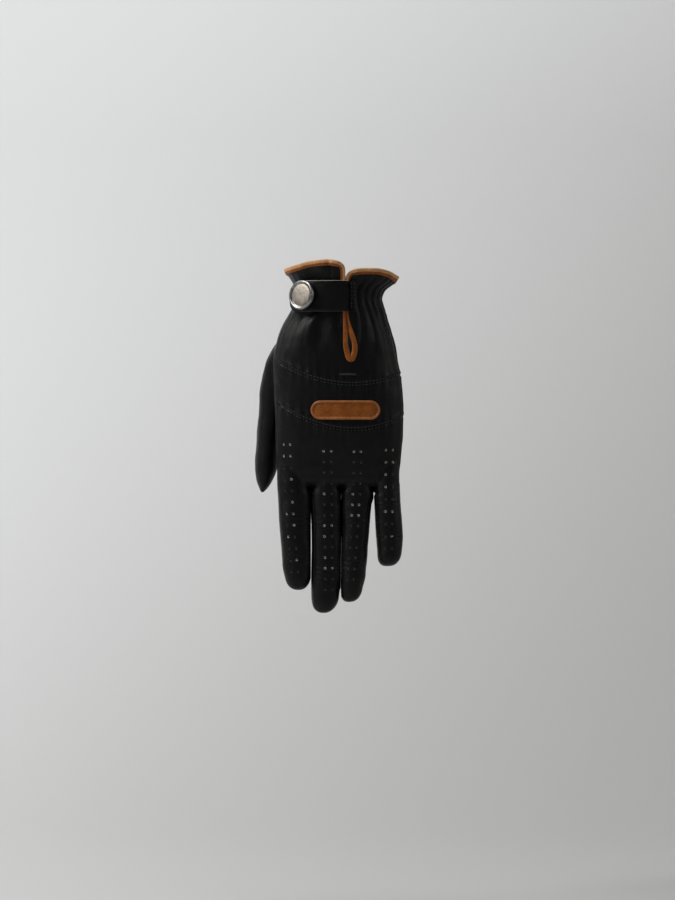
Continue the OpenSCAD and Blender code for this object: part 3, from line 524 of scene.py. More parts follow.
# Folds, seams and wrinkles, as offsets along the skin's normals
foldLook = {"lump": 0.38, "pucker": 0.26, "groove": 0.42, "lipHigh": 0.34, "lipLow": 0.12, "side": 0.45,
            "sideLip": 0.2, "sideTurns": (math.pi - 0.24, 0.2), "strip": 0.34, "stripLip": 0.12,
            "wrinkle": 0.13, "fingerLump": 0.22, "thumbLump": 0.25, "plainSides": 0.8}
pleatLook = {"count": 13.5, "sway": 0.035, "swayLong": 8, "drift": 1.3, "high": 1.25, "highAt": (15, 12),
             "low": 0.9, "lowFrom": (18, 10), "lowTo": (32, 36), "left": 0.3}
fanLook = {"x": -6, "drop": 22, "high": 0.85, "reach": (22, 9), "count": 8.5, "first": 0.5, "drift": 0.9}
slitBow = {"x": 3.5, "lean": 3.5, "from": 27, "over": 29}
upperSeam = {"drop": 75.6, "x": 8.0, "bow": 0.0062, "row": 0.95}
lowerSeam = {"drop": 104.8, "x": 8.0, "bow": 0.0074, "row": 0.95}
knuckleDrops = [(163, 188), (166, 196), (164, 192), (154, 176)]
sewnSides = [(False, True), (True, True), (True, True), (True, False)]
fingerStitch = {"across": 0.8, "pitch": 2.1, "long": 1.15, "radius": 0.2}
# Palm side: the seam round the thumb's gusset as x over drop, and two creases as drop over x
palmLook = {"gusset": [(44, -44), (49, -36), (57, -28.5), (68, -25.5), (82, -26), (96, -30), (108, -36)],
            "creases": [[(-38, 112), (-15, 107), (10, 101), (30, 92)],
                        [(-18, 136), (0, 131.5), (20, 125), (38, 121)]],
            "seam": 0.5, "crease": 0.36, "joint": 1.9}


def seamDrop(seam, x):
    return seam["drop"] - seam["bow"] * (x - seam["x"]) ** 2


def wave(p, scale, seed=0.0):
    q = p / scale + np.array([seed * 7.3, seed * 3.1, seed * 5.7])
    return np.array([noise.noise(v) for v in q])


def slitMid(s):
    return slitBow["x"] + slitBow["lean"] * smooth((s - slitBow["from"]) / slitBow["over"])


def slowWave(a, b, seed):
    return wave(np.stack([a, b, 0 * a], 1), 1.0, seed)


def handTurn(p):
    x, y, s = p[:, 0], p[:, 1], -p[:, 2]
    left, right = curve(handShape["left"], s), curve(handShape["right"], s)
    across = (x - (left + right) / 2) / ((right - left) / 2)
    deep = np.where(y < 0, curve(handShape["back"], s), curve(handShape["palm"], s))
    return np.arctan2(y / deep, across)


# Gathers of the wrist, weak on the back between thumb and slit
def wristPleats(p, turn, drift):
    x, y, s = p[:, 0], p[:, 1], -p[:, 2]
    look = pleatLook
    sway = look["sway"] * np.sin(s / look["swayLong"])
    ridge = 1.7 * np.abs(np.sin(look["count"] * (turn + sway) + look["drift"] * drift)) ** 0.8 - 1.0
    (start, rise), (end, fall) = look["lowFrom"], look["lowTo"]
    low = smooth((s - start) / rise) * (1 - smooth((s - end) / fall))
    high = look["high"] * bump(s, *look["highAt"]) + look["low"] * low
    backLeft = (y < 0) * smooth((slitMid(s) - 1.5 - x) / 3.0)
    uneven = 0.65 + 0.7 * slowWave(turn * 4, s / 40, 2.0)
    return (s < 140) * high * lerp(1.0, look["left"], backLeft) * uneven * ridge


# Soft folds that fan out from under the tab
def tabFolds(p, drift):
    x, y, look = p[:, 0], p[:, 1], fanLook
    aside, below = x - look["x"], -p[:, 2] - look["drop"]
    fan, reach = np.arctan2(aside, below), np.hypot(aside, below)
    ridge = np.sin(fan * look["count"] + look["first"] + look["drift"] * drift)
    return (y < 0) * (x < 1) * look["high"] * bump(reach, *look["reach"]) * ridge


# The two seams across the back with their puckers, and the side seams of the back panel
def seamFolds(p, n, turn):
    x, y, s = p[:, 0], p[:, 1], -p[:, 2]
    look, off = foldLook, 0
    back = (n[:, 1] < 0.05) & (s < 128) & (x > curve(handShape["left"], s) + 1.8)
    for seed, seam in enumerate((upperSeam, lowerSeam)):
        d = s - seamDrop(seam, x)
        gather = np.sin(x * 1.15 + 2.2 * slowWave(x / 9, 0 * s, 5.0 + seed))
        pucker = look["pucker"] * gather * np.exp(-np.abs(d) / 5.0) * smooth(np.abs(d) / 1.5)
        lips = look["lipHigh"] * bump(d, -1.8, 1.5) + look["lipLow"] * bump(d, 1.6, 1.3)
        off = off + back * (pucker + lips - look["groove"] * bump(d, 0, 0.8))
    for at in look["sideTurns"]:
        d = (np.abs(turn) - at) * 26
        sewn = look["sideLip"] * bump(d, -1.6, 1.1) - look["side"] * bump(d, 0, 0.9)
        off = off + (y < 0) * (s > 30) * (s < 138) * sewn
    return off


# Palm: gusset seam and creases
def palmFolds(p, n, drift):
    x, s = p[:, 0], -p[:, 2]
    look = palmLook
    palm = (p[:, 1] > 2) * smooth((n[:, 1] - 0.1) / 0.4)
    d = x - curve(look["gusset"], s)
    ease = smooth((s - 43) / 6) * (1 - smooth((s - 100) / 8))
    off = palm * ease * look["seam"] * (0.55 * bump(d, 1.5, 1.2) - bump(d, 0, 0.8))
    for line in look["creases"]:
        d = s - curve(line, x) - 0.8 * drift
        ease = smooth((x - line[0][0]) / 8) * smooth((line[-1][0] - x) / 8)
        off = off + palm * ease * look["crease"] * (0.5 * bump(np.abs(d), 2.4, 1.5) - bump(d, 0, 1.0))
    return off


# Strip seams, joint wrinkles and lumps of one finger
def fingerFolds(p, n, i):
    x, y, s = p[:, 0], p[:, 1], -p[:, 2]
    f, look, off = fingerShape[i], foldLook, 0
    left, right = curve(f["left"], s), curve(f["right"], s)
    across = (x - (left + right) / 2) / ((right - left) / 2)
    ease = smooth((s - cutDrops[i] + 8) / 6)
    tip = 1 - smooth((s - f["dome"] + 2) / 6)
    for side, sewn in zip((-1, 1), sewnSides[i]):
        d = (across * side - fingerStitch["across"]) * (right - left) / 2
        strip = look["stripLip"] * bump(d, -1.5, 0.9) - look["strip"] * bump(d, 0, 0.85)
        off = off + sewn * (y < 0) * ease * tip * strip
    bent = sum(bump(s, k, 5.5) for k in knuckleDrops[i])
    crease = np.sin(s * 2.1 + 2.4 * slowWave(x / 8, s / 14, 7.0 + i))
    firm = lerp(1.0, palmLook["joint"], smooth(n[:, 1] / 0.5))
    return off + bent * look["wrinkle"] * firm * crease + look["fingerLump"] * wave(p, 9.0, 8.0 + i) * ease


def foldOffsets(p, n):
    s, look = -p[:, 2], foldLook
    turn = handTurn(p)
    drift = slowWave(turn * 2.2, s / 26, 1.0)
    off = wristPleats(p, turn, drift) + tabFolds(p, drift) + seamFolds(p, n, turn) + palmFolds(p, n, drift)
    off += look["lump"] * (wave(p, 13.0, 3.0) + 0.5 * wave(p, 6.0, 4.0))
    thumb = isThumb(p)
    for i in range(len(fingerShape)):
        mine = (skinFinger == i) & ~thumb & (s > cutDrops[i] - 8)
        off += mine * fingerFolds(p, n, i)
    off += thumb * look["thumbLump"] * wave(p, 8.0, 12.0)
    between = (s > 140) & ~thumb
    return off * (1 - look["plainSides"] * between * smooth((np.abs(n[:, 0]) - 0.5) / 0.35))


skinNormals = normalsOf(skinPoints, skinFaces)
skinPoints = widen(skinPoints + skinNormals * foldOffsets(skinPoints, skinNormals)[:, None])
skinTree = BVHTree.FromPolygons([Vector(p) for p in skinPoints], skinFaces)
print("folds set")


def onBack(x, s):
    hit = skinTree.ray_cast(Vector((x, -90, -s)), Vector((0, 1, 0)))
    return np.array(hit[0]), np.array(hit[1])


def nearSkin(p):
    hit = skinTree.find_nearest(Vector(p))
    return np.array(hit[0]), np.array(hit[1])


# The line of the binding: up the slit's thumb side, round the rim, and back down to the keyhole
rimTurns = {"left": (-1.55, -3.13), "palm": (3.1, 0.04), "right": (-0.02, -1.5)}
rimEnds = {"left": -0.5, "right": 6.5}
rimLine = {
    "left": [(-37.5, 2.4), (-30, 0.6), (-24, -1.0), (-11.7, -3.1), (-4.5, -3.0), (-0.5, -2.0)],
    "right": [(3.9, 6.6), (9.1, 3.2), (16.9, 2.4), (28.6, 3.1), (35.0, 5.6), (38.5, 8.5)],
    "palm": [(-38, 2.4), (-20, 4.0), (0, 5.5), (22, 8.0), (38.5, 8.5)],
}
slitLine = {"edge": [(-6, 2.4), (8, 2.3), (20, 1.5), (31, 1.0), (37.4, 1.6), (44, 2.9), (50.5, 3.9)],
            "gap": [(-6, 0.1), (36, 0.1), (42.5, 0.3), (46, 1.0), (50.5, 1.45)],
            "wide": 50.5, "foot": 61.5, "low": 3.1, "lap": 0.9, "leftTop": -0.5, "rightTop": 6.5}
# the sides round the binding's crest are painted lighter along the rim as a painted highlight
bindLook = {"up": 1.3, "down": 2.9, "thick": 1.0, "sides": 16, "step": 1.1, "power": 2.8, "sunk": 0.45,
            "rimDrop": 9.5, "highlightSides": (0, 1, 2, 3, 13, 14, 15)}


def handAt(turn, s):
    left, right = curve(handShape["left"], s), curve(handShape["right"], s)
    deep = curve(handShape["back"] if math.sin(turn) < 0 else handShape["palm"], s)
    return np.array([(left + right) / 2 + (right - left) / 2 * rounded(math.cos(turn)),
                     deep * rounded(math.sin(turn)), -s])


def slitEdge(s):
    line = slitLine
    if s <= line["wide"]:
        return curve(line["edge"], s)
    t = (s - line["wide"]) / (line["foot"] - line["wide"])
    return line["edge"][-1][1] * math.sqrt(max(0, 1 - t * t))


def rimPlaces(name, count, first):
    places = []
    for a in np.linspace(*rimTurns[name], count):
        s = first
        for k in range(4):
            s = float(curve(rimLine[name], handAt(a, s)[0]))
        places.append(handAt(a, s))
    return places


def slitPlaces(drops, side):
    line, places = slitLine, []
    for s in drops:
        deep = max(0.0, (s - line["wide"]) / (line["foot"] - line["wide"]))
        width = max(0.6, slitEdge(min(s, line["wide"])) - curve(line["gap"], s))
        place = onBack(slitMid(s) + side * slitEdge(s), s)[0]
        places.append((place, lerp(width, line["low"], deep), line["lap"]))
    return places


def rimAndSlit():
    line = slitLine
    lows = [line["wide"] + (line["foot"] - line["wide"]) * math.sin(a)
            for a in np.linspace(0, math.pi / 2, 12)]
    leftRim = [p for p in rimPlaces("left", 60, 0.0) if p[0] < rimEnds["left"]]
    palmRim = rimPlaces("palm", 110, 4.0)
    rightRim = [p for p in rimPlaces("right", 60, 4.0) if p[0] > rimEnds["right"]]
    rim = [(nearSkin(p)[0], bindLook["up"], bindLook["down"]) for p in leftRim + palmRim + rightRim]
    up = list(np.arange(line["wide"] - 1, line["leftTop"], -1.0))
    down = list(np.arange(line["rightTop"], line["wide"] - 0.5, 1.0))
    return slitPlaces(lows[::-1] + up, -1) + rim + slitPlaces(down + lows[:-1], 1)


def eased(values, times):
    for k in range(times):
        values = values * 0.5 + (np.roll(values, 1, 0) + np.roll(values, -1, 0)) * 0.25
    return values


# Even steps along the line, each with its place, normal, direction across and widths
def bindingPath():
    places = rimAndSlit()
    closed = np.array([q[0] for q in places + places[:1]])
    wide = np.array([q[1:] for q in places + places[:1]])
    run = np.concatenate([[0], np.cumsum(np.linalg.norm(np.diff(closed, axis=0), axis=1))])
    at = np.linspace(0, run[-1], int(run[-1] / bindLook["step"]), endpoint=False)
    p = eased(np.stack([np.interp(at, run, closed[:, k]) for k in range(3)], 1), 4)
    widths = eased(np.stack([np.interp(at, run, wide[:, k]) for k in range(2)], 1), 4)
    snapped = [nearSkin(q) for q in p]
    p = np.array([q[0] for q in snapped])
    n = unit(eased(np.array([q[1] for q in snapped]), 6))
    t = unit(np.roll(p, -1, 0) - np.roll(p, 1, 0))
    return p, n, unit(np.cross(t, n)), widths


bindP, bindN, bindV, bindW = bindingPath()
print("binding line:", len(bindP))


def buildBinding():
    look, rows = bindLook, []
    a = np.arange(look["sides"]) / look["sides"] * 2 * math.pi
    along, out = rounded(np.cos(a), look["power"]), rounded(np.sin(a), look["power"])
    for p, n, v, (up, down) in zip(bindP, bindN, bindV, bindW):
        mid, half = (up - down) / 2, (up + down) / 2
        thick = look["thick"] * (1 + 0.06 * math.sin(p[0] * 1.7 + p[2] * 2.3))
        rows.append(p + np.outer(mid + half * along, v) + np.outer(out * thick - look["sunk"], n))
    faces = tubeFaces(len(rows), look["sides"], closeRows=True)
    piece = toMesh("edgeBinding", np.concatenate(rows), faces, ["tan", "tanEdge", "tanRimHighlight"], 60)
    for face in piece.data.polygons:
        # painted highlight: near the rim the crest and the faces beside it get the lighter tan
        row, side = divmod(face.index, look["sides"])
        if bindP[row][2] > -look["rimDrop"] and side in look["highlightSides"]:
            face.material_index = 2
        elif side in (0, look["sides"] - 1):
            face.material_index = 1
    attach(piece, "hand")
    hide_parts("cuff_binding", "placket_binding")


buildBinding()


# Cut the rim and the slit out of the skin, part the fingers and the thumb, and give the leather thickness
thumbCut = 110.0
trimMake = {"until": 68, "near": 6, "rim": 10, "past": 0.15}


def offLeather(c):
    tree, make = treeOf(bindP), trimMake
    off = np.zeros(len(c), bool)
    s = -c[:, 2]
    for k in np.nonzero(s < make["until"])[0]:
        q, i, d = tree.find(Vector(c[k]))
        if d < make["near"] or s[k] < make["rim"]:
            off[k] = (c[k] - bindP[i]) @ bindV[i] > make["past"]
    return off


def partSkin():
    made = bmesh.new()
    verts = [made.verts.new(p) for p in skinPoints]
    label = made.faces.layers.int.new("finger")
    for f in skinFaces:
        made.faces.new([verts[i] for i in f])[label] = int(skinFinger[f[0]])
    for drop in sorted({thumbCut, *cutDrops}):
        geom = made.verts[:] + made.edges[:] + made.faces[:]
        bmesh.ops.bisect_plane(made, geom=geom, dist=1e-4, plane_co=(0, 0, -drop), plane_no=(0, 0, 1))
    made.verts.index_update()
    points = np.array([v.co for v in made.verts])
    faces = [tuple(v.index for v in f.verts) for f in made.faces]
    which = np.array([f[label] for f in made.faces])
    made.free()
    middle = np.array([points[list(f)].mean(0) for f in faces])
    s = -middle[:, 2]
    thumb = isThumb(middle)
    owner = np.zeros(len(faces), int)
    owner[thumb & (s > thumbCut)] = 5
    for i in range(4):
        owner[(which == i) & ~thumb & (s > cutDrops[i])] = i + 1
    owner[offLeather(middle)] = -1
    return points, faces, owner


def shell(points, faces, thick):
    faces = list(faces)
    while True:
        count, around = {}, {}
        for f in faces:
            for a, b in zip(f, f[1:] + f[:1]):
                count[(a, b)] = 1
        openEdges = [e for e in count if (e[1], e[0]) not in count]
        for a, b in openEdges:
            around[a] = around.get(a, 0) + 1
        bad = {k for k, n in around.items() if n > 1}
        if not bad:
            break
        faces = [f for f in faces if not bad & set(f)]
    used = sorted({i for f in faces for i in f})
    new = {k: i for i, k in enumerate(used)}
    faces = [tuple(new[i] for i in f) for f in faces]
    outer = points[used]
    tris = [t for f in faces for t in ((f,) if len(f) <= 4 else [(f[0], f[k], f[k + 1])
                                                                 for k in range(1, len(f) - 1)])]
    inner = outer - normalsOf(outer, tris) * thick
    n = len(outer)
    back = [tuple(n + i for i in reversed(f)) for f in faces]
    walls = [(new[b], new[a], n + new[a], n + new[b]) for a, b in openEdges]
    kinds = [0] * len(faces) + [1] * (len(back) + len(walls))
    return np.concatenate([outer, inner]), faces + back + walls, kinds


partedPoints, partedFaces, owners = partSkin()
print("skin parted")

# Air holes: two columns over each finger, wider outside than inside so that the cut edge shows. The cut edge
# carries painted light: pale in the upper rows and where noise is high, and dark as painted shade in the rest
holeLook = {"outer": 0.8, "inner": 0.42, "sides": 10, "paintedLight": 0.16, "paintedLightRows": 124, "near": 1.3,
            "within": 0.97, "steep": 0.9}
holeRows = [
    {"from": (114.7, -36.4, -32.2), "to": (197.0, -31.5, -27.3), "rows": 12},
    {"from": (119.0, -10.6, -5.7), "to": (208.7, -9.4, -4.9), "rows": 14},
    {"from": (119.4, 9.0, 13.5), "to": (202.0, 4.6, 8.6), "rows": 13},
    {"from": (118.3, 29.6, 34.2), "to": (182.0, 29.2, 33.4), "rows": 9},
]


def holePlaces():
    places = []
    for row in holeRows:
        for k in range(row["rows"]):
            t = k / (row["rows"] - 1)
            s = lerp(row["from"][0], row["to"][0], t)
            for side in (1, 2):
                places.append(onBack(lerp(row["from"][side], row["to"][side], t ** 1.6), s))
    return places


holes = holePlaces()


def punch(piece, mine):
    look, thick, points, faces = holeLook, skinMake["thick"], [], []
    a = np.arange(look["sides"]) / look["sides"] * 2 * math.pi
    for p, n in mine:
        e1 = unit(np.cross(n, (1, 0, 0)))
        e2 = np.cross(n, e1)
        ringShape = np.outer(np.cos(a), e1) + np.outer(np.sin(a), e2)
        first = sum(len(q) for q in points)
        spread = (look["outer"] - look["inner"]) / thick
        points.append(np.concatenate([p - n * (thick + 1) + ringShape * (look["inner"] - spread * 0.1),
                                      p - n * thick + ringShape * look["inner"],
                                      p + n * thick + ringShape * (look["outer"] + spread * thick)]))
        faces += tubeFaces(3, look["sides"], first=first)
    cutter = toMesh("cutter", np.concatenate(points), faces, "raw")
    cut = piece.modifiers.new("holes", "BOOLEAN")
    cut.operation = "DIFFERENCE"
    cut.solver = "MANIFOLD"
    cut.object = cutter
    before = len(piece.data.polygons)
    mesh = bpy.data.meshes.new_from_object(piece.evaluated_get(bpy.context.evaluated_depsgraph_get()))
    piece.modifiers.clear()
    bpy.data.objects.remove(cutter)
    if len(mesh.polygons) < before * 0.9:
        print("holes failed:", piece.name)
        return
    old = piece.data
    piece.data = mesh
    bpy.data.meshes.remove(old)
    tree = treeOf([p for p, n in mine])
    for face in mesh.polygons:
        c = face.center * 1000
        q, i, d = tree.find(c)
        n = Vector(mine[i][1])
        aside = (c - q) - n * ((c - q) @ n)
        inHole = d < look["near"] and aside.length < look["outer"] * look["within"]
        if inHole and abs(face.normal @ n) < look["steep"]:
            # painted light and shade: holes in the upper rows and where noise is high get the pale edge, the
            # rest get the dark copy
            paintedLight = -q.z < look["paintedLightRows"] or noise.noise(q / 11) > look["paintedLight"]
            face.material_index = 2 if paintedLight else 3
    mesh.set_sharp_from_angle(angle=math.radians(32))


def buildSkin(name, index, nodes):
    mine = [f for f, o in zip(partedFaces, owners) if o == index]
    points, faces, kinds = shell(partedPoints, mine, skinMake["thick"])
    piece = toMesh(name, points, faces, ["black", "suede", "raw", "rawPaintedShade"], 60)
    piece.data.polygons.foreach_set("material_index", kinds[:len(piece.data.polygons)])
    low = cutDrops[index - 1] if 1 <= index <= 4 else 999
    spots = [(h, int(fingerOf(h[0][0], -h[0][2]))) for h in holes]
    here = [h for h, i in spots if (index == 0 and -h[0][2] < cutDrops[i])
            or (i == index - 1 and -h[0][2] >= low)]
    if here:
        punch(piece, here)
    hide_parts(*nodes)
    print(name, len(piece.data.polygons))
    return piece


fingerParts = [
    ("indexSkin", "index_finger", -28.95, ["index_back", "index_palm", "index_fourchette"]),
    ("middleSkin", "middle_finger", -9.35, ["middle_back", "middle_palm", "middle_fourchette_index_side",
                                               "middle_fourchette_ring_side"]),
    ("ringSkin", "ring_finger", 10.15, ["ring_back", "ring_palm", "ring_fourchette_middle_side",
                                          "ring_fourchette_little_side"]),
    ("littleSkin", "little_finger", 28.5, ["little_back", "little_palm", "little_fourchette"]),
]
# The slanted line along which a sleeve would bend from its palm side first, keeping its depth in the bend;
# the finger threads are handed it, but nothing is bent
fingerBend = {"slant": 0.5, "long": 26.0, "deep": 11.3}


def bendLine(look, x, y, drop):
    start = np.array([x, y, -(drop + 1 + look["slant"] * look["deep"])])
    along = np.array([0, look["slant"], -1]) * look["long"] / (1 + look["slant"] ** 2)
    return [tuple(float(v) / 1000 for v in p) for p in (start, start + along)]


handSkin = buildSkin("handSkin", 0, ["cuff_back_panel", "band_back_panel", "knuckle_back_panel", "palm_panel",
                                     "thumb_gusset"])
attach(handSkin, "hand")
for i, (name, body, x, nodes) in enumerate(fingerParts):
    finger = buildSkin(name, i + 1, nodes)
    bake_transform(finger)
thumb = buildSkin("thumbSkin", 5, ["thumb_back", "thumb_palm"])
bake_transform(thumb)
print("skins made")

# The closing tab follows the wrist below it, upright at its fold and leaning with the cuff at the button
tabBase = {"left": [(-8, -38.5), (0, -36.5), (8.1, -28.77), (18, -27.3), (39, -38.41), (60, -43.4)],
           "right": [(-8, 38.5), (0, 36.5), (8.1, 28.77), (18, 27.3), (60, 37), (97, 41)],
           "back": [(-8, 27), (0, 25), (8.1, 20.8), (18, 20), (60, 19.4), (97, 17)]}
tabShape = {"drop": 19.0, "half": 10.0, "thick": 1.2, "hinge": 100.4, "snap": 41.0, "end": 18.4, "cols": 72,
            "rows": 18, "tip": 18.0, "lift": 0.1, "skin": 1.0, "clear": (0.8, 1.4), "rollLow": 0.22,
            "rollHigh": 0.12, "dent": 0.13, "worn": 0.55, "ripple": 0.05}


def tabHand(degrees, s, off):
    u = (1 - math.cos(math.radians(degrees))) / 2
    left, right = curve(tabBase["left"], s) - off, curve(tabBase["right"], s) + off
    t = abs(2 * u - 1)
    y = (curve(tabBase["back"], s) + off) * (1 - t ** roundness) ** (1 / roundness)
    return np.array([lerp(left, right, u), -(y + tabShape["lift"]), -s])


def tabPoint(degrees, s, e):
    shape = tabShape
    near = float(smooth((shape["hinge"] - degrees) / (shape["hinge"] - shape["snap"])))
    off = shape["skin"] + e + lerp(*shape["clear"], near)
    top = tabHand(degrees, shape["drop"] - shape["half"], off)
    low = tabHand(degrees, shape["drop"] + shape["half"], off)
    upright = tabHand(degrees, shape["drop"], off)
    leaning = lerp(top, low, (s - shape["drop"]) / (2 * shape["half"]) + 0.5)
    return lerp(np.array([upright[0], upright[1], -s]), leaning, near)


def tabHalf(degrees):
    shape = tabShape
    if degrees >= shape["snap"]:
        return shape["half"]
    t = (shape["snap"] - degrees) / (shape["snap"] - shape["tip"])
    return shape["half"] * math.sqrt(max(0.01, 1 - t * t))


def buildTab():
    shape, rows = tabShape, []
    across = np.sin(np.linspace(-0.5, 0.5, shape["rows"]) * math.pi)
    for j in range(shape["cols"] + 1):
        a = lerp(shape["end"], shape["hinge"], math.sin(math.pi / 2 * j / shape["cols"]))
        half, loop = tabHalf(a), []
        for c in across:
            loop.append(tabPoint(a, shape["drop"] + c * half, 0.05 * abs(c) ** 8))
        for c in across[::-1]:
            edge = abs(c) ** 14
            roll = shape["rollLow"] * bump(c, 0.9, 0.06) + shape["rollHigh"] * bump(c, -0.9, 0.05)
            dent = shape["dent"] * (bump(c, 0.8, 0.03) + bump(c, -0.8, 0.03))
            ease = 1 if a > shape["snap"] else 0.4
            ripple = shape["ripple"] * math.sin(a * 0.31 + c * 4)
            height = shape["thick"] + (roll - dent) * ease - shape["worn"] * edge + ripple
            loop.append(tabPoint(a, shape["drop"] + c * half, height))
        rows.append(loop)
    cols = 2 * shape["rows"]
    points = np.concatenate([np.array(r) for r in rows])
    piece = toMesh("tabStrap", points, tubeFaces(len(rows), cols), ["black", "raw", "suede"], 50)
    for face in piece.data.polygons:
        k = face.index % cols
        if face.index < (len(rows) - 1) * cols:
            if k in (shape["rows"] - 1, cols - 1, cols - 2):
                face.material_index = 1
            elif k < shape["rows"] - 1:
                face.material_index = 2
    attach(piece, "tab")
    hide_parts("tab_strap")


def orientOut(piece):
    made = bmesh.new()
    made.from_mesh(piece.data)
    bmesh.ops.recalc_face_normals(made, faces=made.faces)
    made.to_mesh(piece.data)
    made.free()


buildTab()
orientOut(bpy.data.objects["tabStrap"])


# Stitches: short bent tubes that dip into the leather at both ends
def stitchMesh(name, ends, radius, finish, nodes, body="hand", rise=0.22, dip=0.3):
    points, faces = [], []
    sides, steps = 7, 7
    a = np.arange(sides) / sides * 2 * math.pi
    for p, q, n in ends:
        side = np.cross(n, unit(q - p))
        first = len(points) * sides
        for k in range(steps):
            t = k / (steps - 1)
            lift = lerp(-dip, rise, math.sin(math.pi * t) ** 0.6)
            r = radius * (0.75 + 0.25 * math.sin(math.pi * t))
            loop = np.outer(np.cos(a) * r, side) + np.outer(np.sin(a) * r, n)
            points.append(lerp(p, q, t) + n * lift + loop)
        faces += tubeFaces(steps, sides, first=first)
    piece = toMesh(name, np.concatenate(points), faces, finish, 60)
    orientOut(piece)
    if isinstance(body, str):
        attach(piece, body)
    else:
        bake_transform(piece)
    if nodes:
        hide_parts(*nodes)


seamStitch = {"pitch": 2.3, "long": 1.35, "radius": 0.27, "from": -39.0, "to": 38.6}


def seamRow(seam):
    ends, look = [], seamStitch
    for row in (-seam["row"], seam["row"]):
        xs = np.linspace(look["from"], look["to"], 600)
        line = [onBack(x, seamDrop(seam, x) + row) for x in xs]
        p = np.array([q[0] for q in line])
        run = np.concatenate([[0], np.cumsum(np.linalg.norm(np.diff(p, axis=0), axis=1))])
        for at in np.arange(0.5, run[-1] - look["long"], look["pitch"]):
            a, b = (np.array([np.interp(v, run, p[:, k]) for k in range(3)])
                    for v in (at, at + look["long"]))
            n = line[int(np.searchsorted(run, at + look["long"] / 2))][1]
            ends.append((a, b, n))
    return ends


stitchMesh("upperSeamThread", seamRow(upperSeam), seamStitch["radius"], "blackThread", ["upper_seam_thread"])
stitchMesh("lowerSeamThread", seamRow(lowerSeam), seamStitch["radius"], "blackThread", ["lower_seam_thread"])

# Bar of close stitches under the keyhole
barTack = {"from": -0.2, "to": 10.2, "x": 4, "drop": 69.5, "bow": 0.004, "pitch": 0.62, "long": 1.3,
           "lean": 0.3, "radius": 0.3, "rise": 0.3}
barEnds = []
for x in np.arange(barTack["from"], barTack["to"], barTack["pitch"]):
    drop = barTack["drop"] + barTack["bow"] * (x - barTack["x"]) ** 2
    a, n = onBack(x, drop - barTack["long"] / 2)
    b, m = onBack(x + barTack["lean"], drop + barTack["long"] / 2)
    barEnds.append((a, b, unit(n + m)))
stitchMesh("barTack", barEnds, barTack["radius"], "blackThread", ["keyhole_bar_tack"], rise=barTack["rise"])

# Fine stitches along the binding, and along the side strips of the fingers
bindStitch = {"in": 0.55, "rise": 0.4, "radius": 0.17}
bindEnds = []
for k in range(0, len(bindP) - 1, 2):
    ends = [bindP[j] + bindV[j] * (bindStitch["in"] - bindW[j][1]) + bindN[j] * bindStitch["rise"]
            for j in (k, k + 1)]
    bindEnds.append((ends[0], ends[1], bindN[k]))
stitchMesh("bindingThread", bindEnds, bindStitch["radius"], "tanThread", [], rise=0.08,
           dip=0.2)


def fingerEnds(i):
    f, look, ends = fingerShape[i], fingerStitch, []
    for side, sewn in zip((-1, 1), sewnSides[i]):
        for s in np.arange(cutDrops[i] + 3, f["dome"] - 3, look["pitch"]) if sewn else []:
            spots = []
            for drop in (s, s + look["long"]):
                left, right = curve(f["left"], drop), curve(f["right"], drop)
                spots.append(onBack((left + right) / 2 + side * look["across"] * (right - left) / 2, drop))
            (a, n), (b, m) = spots
            ends.append((a, b, unit(n + m)))
    return ends


for i, (name, body, x, nodes) in enumerate(fingerParts):
    stitchMesh(name.replace("Skin", "Thread"), fingerEnds(i), fingerStitch["radius"], "blackThread", [],
               body=("hand", body, *bendLine(fingerBend, x, 0, cutDrops[i])), rise=0.12, dip=0.2)
print("tab and seams made")

# Sewn end of the tab, with two rows of stitches
rootShape = {"from": 5.7, "to": 10.4, "drop": 19.0, "half": 10.0, "thick": 1.1, "rows": [7.4, 9.3],
             "dent": 0.22, "edge": 0.35, "pitch": 2.5, "long": 1.7, "threadRise": 0.85, "thread": 0.28}


def buildRoot():
    shape, rows = rootShape, []
    xs = np.linspace(shape["from"], shape["to"], 9)
    for s in np.linspace(shape["drop"] - shape["half"], shape["drop"] + shape["half"], 22):
        base = [onBack(x, s) for x in xs]
        loop = [p + n * 0.05 for p, n in base]
        for k in range(len(xs) - 1, -1, -1):
            p, n = base[k]
            dent = sum(shape["dent"] * bump(xs[k], r, 0.35) for r in shape["rows"])
            edge = shape["edge"] if k in (0, len(xs) - 1) else 0
            loop.append(p + n * (shape["thick"] - dent - edge))
        rows.append(loop)
    piece = toMesh("tabRoot", np.concatenate([np.array(r) for r in rows]), tubeFaces(len(rows), 2 * len(xs)),
                   ["black"], 50)
    orientOut(piece)
    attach(piece, "hand")
    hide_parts("tab_root")
    ends = []
    top, low = shape["drop"] - shape["half"] + 1, shape["drop"] + shape["half"] - 2
    for x in shape["rows"]:
        for s in np.arange(top, low, shape["pitch"]):
            (a, n), (b, m) = onBack(x, s), onBack(x, s + shape["long"])
            ends.append((a + n * shape["threadRise"], b + m * shape["threadRise"], n))
    stitchMesh("tabThread", ends, shape["thread"], "blackThread", ["tab_thread"])


buildRoot()

# Tan patch: a pill with a raised rim, left bare, following a smooth curve of the hand
patchShape = {"x": 3.5, "drop": 92.5, "long": 44.6, "high": 12.4, "around": 120, "stitches": 46,
              "profile": [(0.0, -0.9), (0.0, 0.55), (0.12, 1.0), (0.4, 1.36), (0.85, 1.5), (1.25, 1.36),
                          (1.55, 0.9), (1.8, 0.74), (2.6, 0.82), (4.2, 0.95), (5.6, 1.0)],
              "rimRows": (1, 6), "fitX": (-18, 25), "fitDrop": (86.5, 98.5), "fitMid": 91, "lift": 0.1,
              "threadIn": 1.75, "threadLong": 0.62, "threadRise": 0.85, "thread": 0.24}


